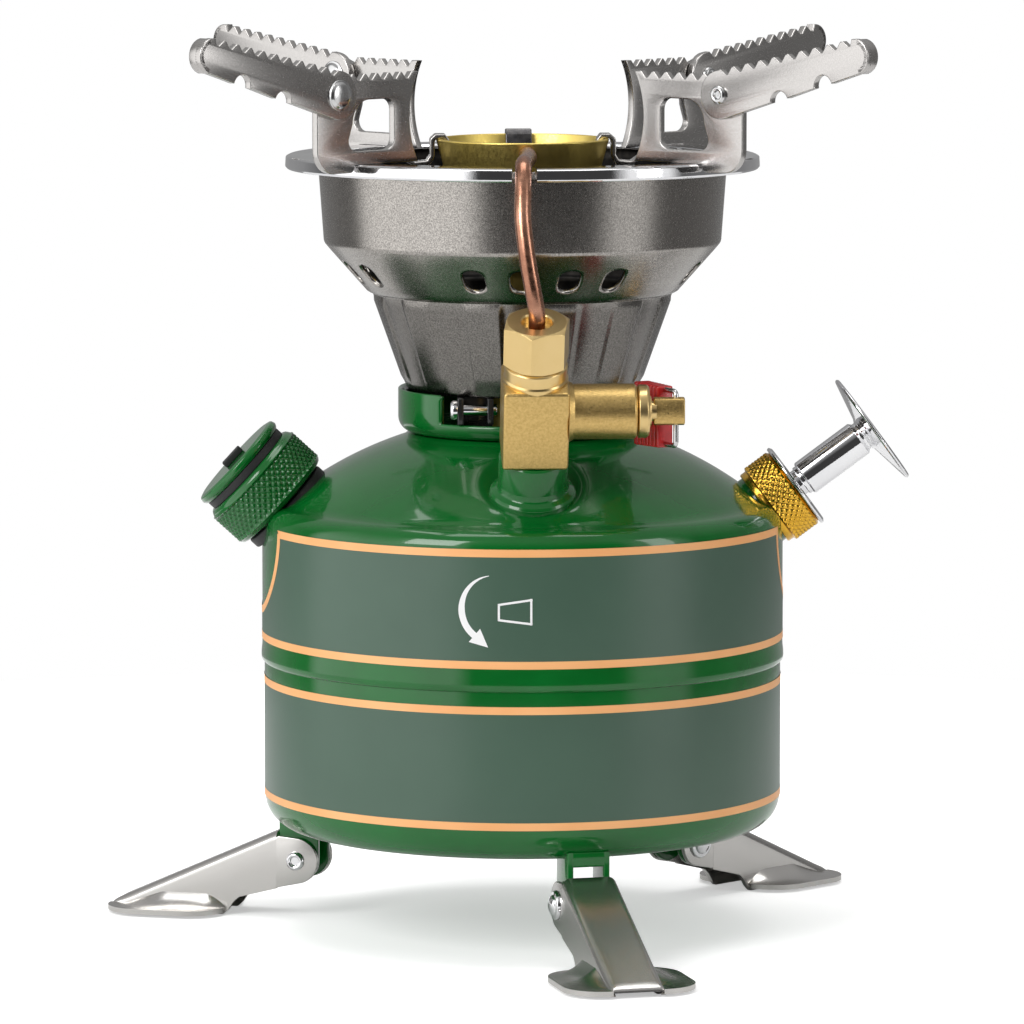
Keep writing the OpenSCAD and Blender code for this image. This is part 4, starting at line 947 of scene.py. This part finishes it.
# Burner: the brass ring, and the flame plate that hangs in it by three hooks
PLATE_R, PLATE_Z, PLATE_T, TUBE_SLOT_R, TUBE_SLOT_Y = 11, 150.15, 0.7, 2.1, -7
HOOK_W = 5.2
HOOK = [
    (9, 149.8), (12.6, 149.8, 0.6), (14.2, 151.2, 0.8), (15.55, 155.9, 0.2), (15.85, 156.32, 0.1),
    (16.9, 156.32, 0.3), (17.35, 155.8, 0.2), (17.35, 152.9, 0.8), (18.25, 151.1, 0.8), (21.45, 150.9, 0.8),
    (23.05, 151.9), (22.65, 152.8), (21.25, 151.8, 0.5), (18.95, 152, 0.5), (18.25, 153.1, 0.5),
    (18.25, 156.3, 0.9), (17.2, 157.2, 0.5), (15.3, 157.2, 0.4), (14.55, 156.2, 0.3), (13.3, 151.7, 0.6),
    (12.2, 150.7, 0.4), (9, 150.7),
]


def burner():
    ring = rounded([
        (5, 99.8), (8.2, 99.8, 0.3), (8.2, 107, 0.3), (6, 107), (6, 130, 6), (13.4, 144, 8), (15.6, 151, 4),
        (17.05, 156.2, 0.25), (16.3, 156.3, 0.3), (14.7, 151.2, 4), (12.4, 144.4, 8), (5, 130.5, 5)], 6, True)
    piece("burner ring", lathe(ring, 144, closed=True), Matrix(), BRASS_HOT, replaces=["burner_head"],
          sharp=45)
    tube_slot = arc(0, 0, TUBE_SLOT_R, 0, 180, 12) + [(-TUBE_SLOT_R, TUBE_SLOT_Y), (TUBE_SLOT_R, TUBE_SLOT_Y)]
    disc = plate(arc(0, 0, PLATE_R, 0, 354, 59), [tube_slot], PLATE_T, 0.15)
    piece("flame plate", disc, move(0, 0, PLATE_Z), HOT, replaces=["flame_spreader"], sharp=40)
    hook = plate(rounded(HOOK, 4, True), [], HOOK_W, 0.2)
    sides = joined(*[(*hook, radial(a) @ turn(90, "X")) for a in (-90, 90)])
    piece("flame plate hooks", sides, Matrix(), STEEL, sharp=40)
    piece("flame plate rear hook", hook, radial(180) @ turn(90, "X"), HOT, sharp=40)


def rivet_end(top, points, seg=4):
    return lathe([(0, top)] + rounded(points, seg), 48)


# Pot supports: a plate with a window, and a folding arm with saw teeth on a rivet
TOOTH_PITCH, TOOTH_UP = 3.1, 1.2
STAND_T, STAND_TOP, STAND_IN, STAND_H, WAIST_R = 1.5, 170.5, 29.7, 17.4, 17.65
RIVET = (52.7, 166.7)
ARM_T, ARM_BACK, ROOT_R, TIP_R = 1.6, 0.9, 4.7, 3.4
TIP_X = 37.5 - TIP_R
ARM_FALL = (ROOT_R - TIP_R) / TIP_X
TIP_LIP_R, TIP_LIP_W = 2.3, 3.2
BITES, BITE_R = (25.4, 14.2), 2.1


def saw(p, q):
    """Pointed teeth to the right of the way from p to q."""
    p, q = Vector(p), Vector(q)
    n = int((q - p).length / TOOTH_PITCH)
    u = (q - p) / n
    w = Vector((u.y, -u.x)).normalized() * TOOTH_UP
    tooth = ((0.18, 0), (0.34, 0), (0.66, 1), (0.84, 1))
    return [tuple(p + u * (i + t) + w * d) for i in range(n) for t, d in tooth]


def stand_plate():
    half = math.degrees(math.asin(STAND_H / 2 / WAIST_R))
    outline = arc(STAND_IN - WAIST_R * math.cos(rad(half)), 161.8, WAIST_R, -half, half, 16)
    outline += saw((30.3, STAND_TOP), (49.7, STAND_TOP))
    outline += arc(52.7, 166.2, 4.3, 90, 0, 14) + arc(52.4, 156.2, 4.6, 0, -90, 12)
    outline += arc(48.1, 152.8, 1.2, 270, 180, 8) + [(46.9, 153.1)]
    window = arc(38.5, 157.9, 2.2, 180, 270, 6) + arc(46.3, 157.9, 2.2, 270, 360, 6)
    window += arc(42.9, 161.0, 4.5, 0, 90, 10) + arc(38.5, 163.3, 2.2, 90, 180, 6)
    return plate(outline, [window], STAND_T, 0.2)


def bite(x):
    """A round bite out of the arm's lower edge."""
    y = -ROOT_R + 0.25 + 0.06 * (x - BITES[1])
    half = math.degrees(math.acos(min(1, (y + ROOT_R - ARM_FALL * x) / BITE_R)))
    return arc(x, y, BITE_R, half - 90, 270 - half, 14)


def arm_bar():
    lean = 90 - math.degrees(math.asin(ARM_FALL))
    edge = Vector(polar(1, lean))
    outline = arc(0, 0, ROOT_R, 360 - lean, lean, 40)
    outline += saw(edge * ROOT_R, Vector((TIP_X, 0)) + edge * TIP_R)
    outline += arc(TIP_X, 0, TIP_R, lean, -lean, 24)
    for x in BITES:
        outline += bite(x)
    lip = arc(TIP_X, 0, TIP_R, 66, -86, 18) + arc(TIP_X, 0, TIP_LIP_R, -86, 66, 18)
    return joined((*plate(outline, [], ARM_T, 0.22), move(0, 0, ARM_T / 2)), plate(lip, [], TIP_LIP_W, 0.2))


def pot_supports():
    head = rivet_end(0.95, [(1.3, 0.9), (2.2, 0.65, 0.5), (2.6, 0.25, 0.2), (3.0, 0.2, 0.1), (3.0, 0)])
    eyelet = rivet_end(0.2, [(0.7, 0.2), (0.9, 0.7, 0.2), (1.35, 0.85, 0.3), (1.75, 0.4, 0.3), (1.8, 0)])
    stand, bar = stand_plate(), arm_bar()
    rivets = []
    for name, (az, side, rise) in STANDS.items():
        m = radial(az) @ Matrix.Diagonal((1, side, 1, 1)) @ turn(90, "X")
        piece("support " + name, stand, m, STEEL, replaces=["stand_" + name], sharp=35)
        at = m @ move(*RIVET, ARM_BACK) @ turn(rise, "Z")
        piece("pot arm " + name, bar, at, STEEL, "arm_" + name, ["arm_" + name], 35)
        rivets.append((*(head if side < 0 else eyelet), m @ move(*RIVET, 2.55)))
        rivets.append((*(eyelet if side < 0 else head), m @ move(*RIVET, -0.75) @ turn(180, "X")))
    piece("pot arm rivets", joined(*rivets), Matrix(), WIRE, replaces=["arm_rivets"], sharp=50)


# Legs: x runs out from the pivot; a channel that falls to its tip, flared soles, two ears and the hinge
LEG_R, LEG_Z = 45.5, 11.5
LEG_SHEET = 1.0
WEB_X, WEB_L, WEB_TOP, WEB_FALL = 4, 33.6, 5.8, 15.6 / 35
WEB_HALF, WEB_ROUND = 5.4, 1.7
WEB_NOSE = [(38.1, -9.5), (38.4, -9.75), (38.55, -10.05), (38.6, -10.4)]
HEEL_X, NOSE_X, WALL_PIVOT, WALL_HEEL, WALL_LOW = 12.4, 36, -4.7, -7.9, -11.4
HEEL_SLOPE, NOSE_SLOPE = 1.5, 0.28
SOLE_Z, SOLE_FLARE, SOLE_LAP = -9.9, 7.5, 0.45
SOLE_X0, SOLE_X1 = 22.2, 31.5
FILLET_UP, FILLET_BELOW, FILLET_POWER = 3.0, 1.7, 2.8
EAR_R, EAR_T, EAR_Y = 4.6, 0.9, 4.93
BRACKET_R, BRACKET_T, BRACKET_Y, BRACKET_TOP = 4.4, 1.2, 3.6, 10.6


def web_top(x):
    return WEB_TOP - WEB_FALL * (x - WEB_X)


def wall_foot(x):
    """Lower edge of the channel's walls: high at the pivot, down to the ground from the heel on."""
    if x < HEEL_X:
        return WALL_PIVOT + (WALL_HEEL - WALL_PIVOT) * x / HEEL_X
    if x > NOSE_X:
        return WALL_LOW + (x - NOSE_X) * NOSE_SLOPE
    return max(WALL_HEEL - (x - HEEL_X) * HEEL_SLOPE, WALL_LOW)


def leg_web():
    xs = [WEB_X + WEB_L * i / 30 for i in range(31)]
    stations = [(x, web_top(x)) for x in xs] + WEB_NOSE
    pts = []
    for x, top in stations:
        r = max(0.02, min(WEB_ROUND, (top - WALL_LOW + 0.02) * 0.6))
        low = min(wall_foot(x), top - r - 0.01)
        half = [(-WEB_HALF, low), (-WEB_HALF, (low + top - r) / 2)]
        half += arc(r - WEB_HALF, top - r, r, 180, 90, 6)
        half += [(-2.4, top), (-1.2, top)]
        section = half + [(0, top)] + [(-y, z) for y, z in reversed(half)]
        pts += [(x, y, z) for y, z in section]
    return pts, grid_faces(len(stations), len(section))


def flare(x):
    """How far the sole stands out from the wall: straight between two quarter rounds."""
    past = max(SOLE_X0 - x, 0, x - SOLE_X1)
    return math.sqrt(max(0, SOLE_FLARE ** 2 - past ** 2))


def leg_sole():
    """One flared sole, drawn up to the wall in a fillet that ends below the web."""
    mid, half = (SOLE_X0 + SOLE_X1) / 2, (SOLE_X1 - SOLE_X0) / 2 + SOLE_FLARE - 0.02
    xs = [mid - half * math.cos(math.pi * i / 40) for i in range(41)]
    pts = []
    for x in xs:
        f = flare(x)
        room_up = max(0, web_top(x) - FILLET_BELOW - SOLE_Z) * 0.9
        fillet = min(FILLET_UP, room_up) * min(1, f / 6.5) ** 1.5
        for t in (k / 12 for k in range(13)):
            y = WEB_HALF - SOLE_LAP + (f + SOLE_LAP) * t
            pts.append((x, y, SOLE_Z + fillet * (1 - t) ** FILLET_POWER))
    return pts, grid_faces(len(xs), 13)


def leg_outside(p):
    return Vector((0, math.copysign(0.4, p.y), 1))


def legs():
    upright = turn(90, "X")
    sole = leg_sole()
    channel = joined(leg_web(), sole, (*sole, Matrix.Diagonal((1, -1, 1, 1))))
    ear = plate(arc(0, 0, EAR_R, 262, 100, 26) + [(3.6, 4.9), (7.5, 2.5), (7.5, -6.3)], [], EAR_T, 0.2)
    ears = joined(*[(*ear, move(0, s * EAR_Y, 0) @ upright) for s in (-1, 1)])
    bracket = arc(0, 0, BRACKET_R, 180, 360, 24) + [(3.7, 1.5), (3.7, BRACKET_TOP), (-BRACKET_R, BRACKET_TOP)]
    bracket = plate(bracket, [], BRACKET_T, 0.25)
    head = rivet_end(1.5, [(1.1, 1.4), (1.9, 1.0, 0.5), (2.0, 0.7, 0.1), (2.8, 0.6, 0.3), (2.9, 0)], 5)
    eyelet = rivet_end(0.25, [(0.8, 0.25), (1.0, 0.7, 0.2), (1.4, 0.85, 0.3), (1.85, 0.4, 0.3), (1.9, 0)])
    rivets, brackets = [], []
    for name, az in LEGS.items():
        m = radial(az) @ move(LEG_R, 0, LEG_Z)
        piece(name + " channel", channel, m, STEEL_LEG, name, [name], 50, solid=LEG_SHEET,
              out=leg_outside, crisp=True)
        piece(name + " ears", ears, m, STEEL_LEG, name, sharp=35)
        for s, end in ((-1, head), (1, eyelet)):
            brackets.append((*bracket, m @ move(0, s * BRACKET_Y, 0) @ upright))
            rivets.append((*end, m @ move(0, s * (WEB_HALF + 0.02), 0) @ turn(-90 * s, "X")))
        brackets.append((*block(8.0, 8.2, 3.0, 0.4), m @ move(-0.35, 0, 9.2)))
    piece("leg hinges", joined(*brackets), Matrix(), GREEN, replaces=["leg_brackets"],
          sharp=40)
    piece("leg hinge rivets", joined(*rivets), Matrix(), CHROME, replaces=["leg_rivets"],
          sharp=50)


# Stage, light and camera, in metres
FLOOR_R = 0.38
FLOOR_GLOW = (0.45, 0.9, 0.1, FLOOR_R)
ROOM_LIGHT, CEILING = 0.8, 0.6
WALLS = [(-180, 0.4), (-135, 0.35), (-112, 0.15), (-105, 2.0), (-33, 2.0), (-25, 0.06), (41, 0.06), (50, 1.2),
         (72, 1.2), (80, 0.15), (110, 0.25), (180, 0.4)]
LAMPS = {
    "key": ((-0.75, -0.75, 0.75), 0.5, 0.6, 7),
    "fill": ((0.95, -0.55, 0.45), 0.25, 0.7, 2),
    "top": ((0.0, 0.1, 1.1), 0.8, 0.6, 5),
}
LAMP_AIM = Vector((0, 0, 0.1))
CAMERA_AZ, CAMERA_FAR, CAMERA_UP, CAMERA_DROP = rad(-3.0), 1.35, 0.2355, 0.1531
LENS, ASIDE_PX, FOCAL_PX = 241.8, 10.5, 6877


def floor():
    """A pale disc that glows for the camera alone, so that it runs into the white background."""
    me = bpy.data.meshes.new("floor")
    edge = [(x, y, 0) for x, y in arc(0, 0, FLOOR_R, 0, 357, 119)]
    me.from_pydata(edge, [], [tuple(range(len(edge)))])
    o = added("floor", me)
    s = Shader("pale floor").set(Roughness=0.8, Base_Color=grey(0.88), Specular_IOR_Level=0.1)
    far = s.node("VectorMath", "LENGTH")
    s.link(s.place, far.inputs[0])
    seen = s.node("Math", "MULTIPLY")
    s.link(s.node("LightPath").outputs["Is Camera Ray"], seen.inputs[0])
    s.link(s.span(far.outputs["Value"], *FLOOR_GLOW), seen.inputs[1])
    glow = s.node("Emission", Color=grey(1.0))
    s.link(seen.outputs["Value"], glow.inputs["Strength"])
    add = s.node("AddShader")
    s.link(s.bsdf.outputs["BSDF"], add.inputs[0])
    s.link(glow.outputs["Emission"], add.inputs[1])
    s.link(add.outputs["Shader"], s.tree.nodes["Material Output"].inputs["Surface"])
    me.materials.append(s.mat)
    o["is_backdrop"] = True


def room():
    """Walls with bright and dark stretches, which the metal mirrors, and plain white for the camera."""
    world = bpy.data.worlds.new("studio")
    bpy.context.scene.world = world
    world.use_nodes = True
    t = Nodes(world.node_tree)
    split = t.node("SeparateXYZ")
    t.link(t.node("TexCoord").outputs["Generated"], split.inputs["Vector"])
    front = t.node("Math", "MULTIPLY")
    front.inputs[1].default_value = -1
    t.link(split.outputs["Y"], front.inputs[0])
    azimuth = t.node("Math", "ARCTAN2")
    t.link(split.outputs["X"], azimuth.inputs[0])
    t.link(front.outputs["Value"], azimuth.inputs[1])
    walls = t.node("ValToRGB")
    for at, _ in WALLS[1:-1]:
        walls.color_ramp.elements.new(at / 360 + 0.5)
    for element, (at, v) in zip(walls.color_ramp.elements, WALLS):
        element.position = at / 360 + 0.5
        element.color = grey(v)
    t.link(t.span(azimuth.outputs["Value"], 0, 1, -math.pi, math.pi), walls.inputs["Fac"])
    shell = t.node("Mix")
    shell.data_type = "RGBA"
    t.link(t.span(split.outputs["Z"], 0, 1, 0.3, 0.75), shell.inputs["Factor"])
    t.link(walls.outputs["Color"], shell.inputs[6])
    shell.inputs[7].default_value = grey(CEILING)
    light = t.tree.nodes["Background"]
    light.inputs["Strength"].default_value = ROOM_LIGHT
    t.link(shell.outputs[2], light.inputs["Color"])
    white = t.node("Background", Color=grey(1.0))
    mix = t.node("MixShader")
    t.link(t.node("LightPath").outputs["Is Camera Ray"], mix.inputs["Fac"])
    t.link(light.outputs["Background"], mix.inputs[1])
    t.link(white.outputs["Background"], mix.inputs[2])
    t.link(mix.outputs["Shader"], t.tree.nodes["World Output"].inputs["Surface"])


def lamps():
    for name, (at, size, size_y, power) in LAMPS.items():
        d = bpy.data.lights.new(name, "AREA")
        d.shape = "RECTANGLE"
        d.size, d.size_y, d.energy = size, size_y, power
        o = added(name, d)
        o.location = AXIS + Vector(at)
        o.rotation_mode = "QUATERNION"
        o.rotation_quaternion = (LAMP_AIM - Vector(at)).to_track_quat("-Z", "Y")
        o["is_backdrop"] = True


def camera():
    d = bpy.data.cameras.new("camera")
    o = added("camera", d)
    bpy.context.scene.camera = o
    d.sensor_width = 36
    d.lens = LENS
    d.clip_start, d.clip_end = 0.05, 50
    sin, cos = math.sin(CAMERA_AZ), math.cos(CAMERA_AZ)
    o.location = AXIS + Vector((CAMERA_FAR * sin, -CAMERA_FAR * cos, CAMERA_UP))
    pitch = math.atan(CAMERA_DROP / CAMERA_FAR)
    o.rotation_euler = (math.pi / 2 - pitch, 0, CAMERA_AZ + math.atan(ASIDE_PX / FOCAL_PX))


tank()
labels()
filler()
pump()
valve()
vapour_tube()
valve_key()
burner_seat()
burner_bowl()
burner()
pot_supports()
legs()
bpy.context.scene.view_settings.view_transform = "Standard"
floor()
room()
lamps()
camera()
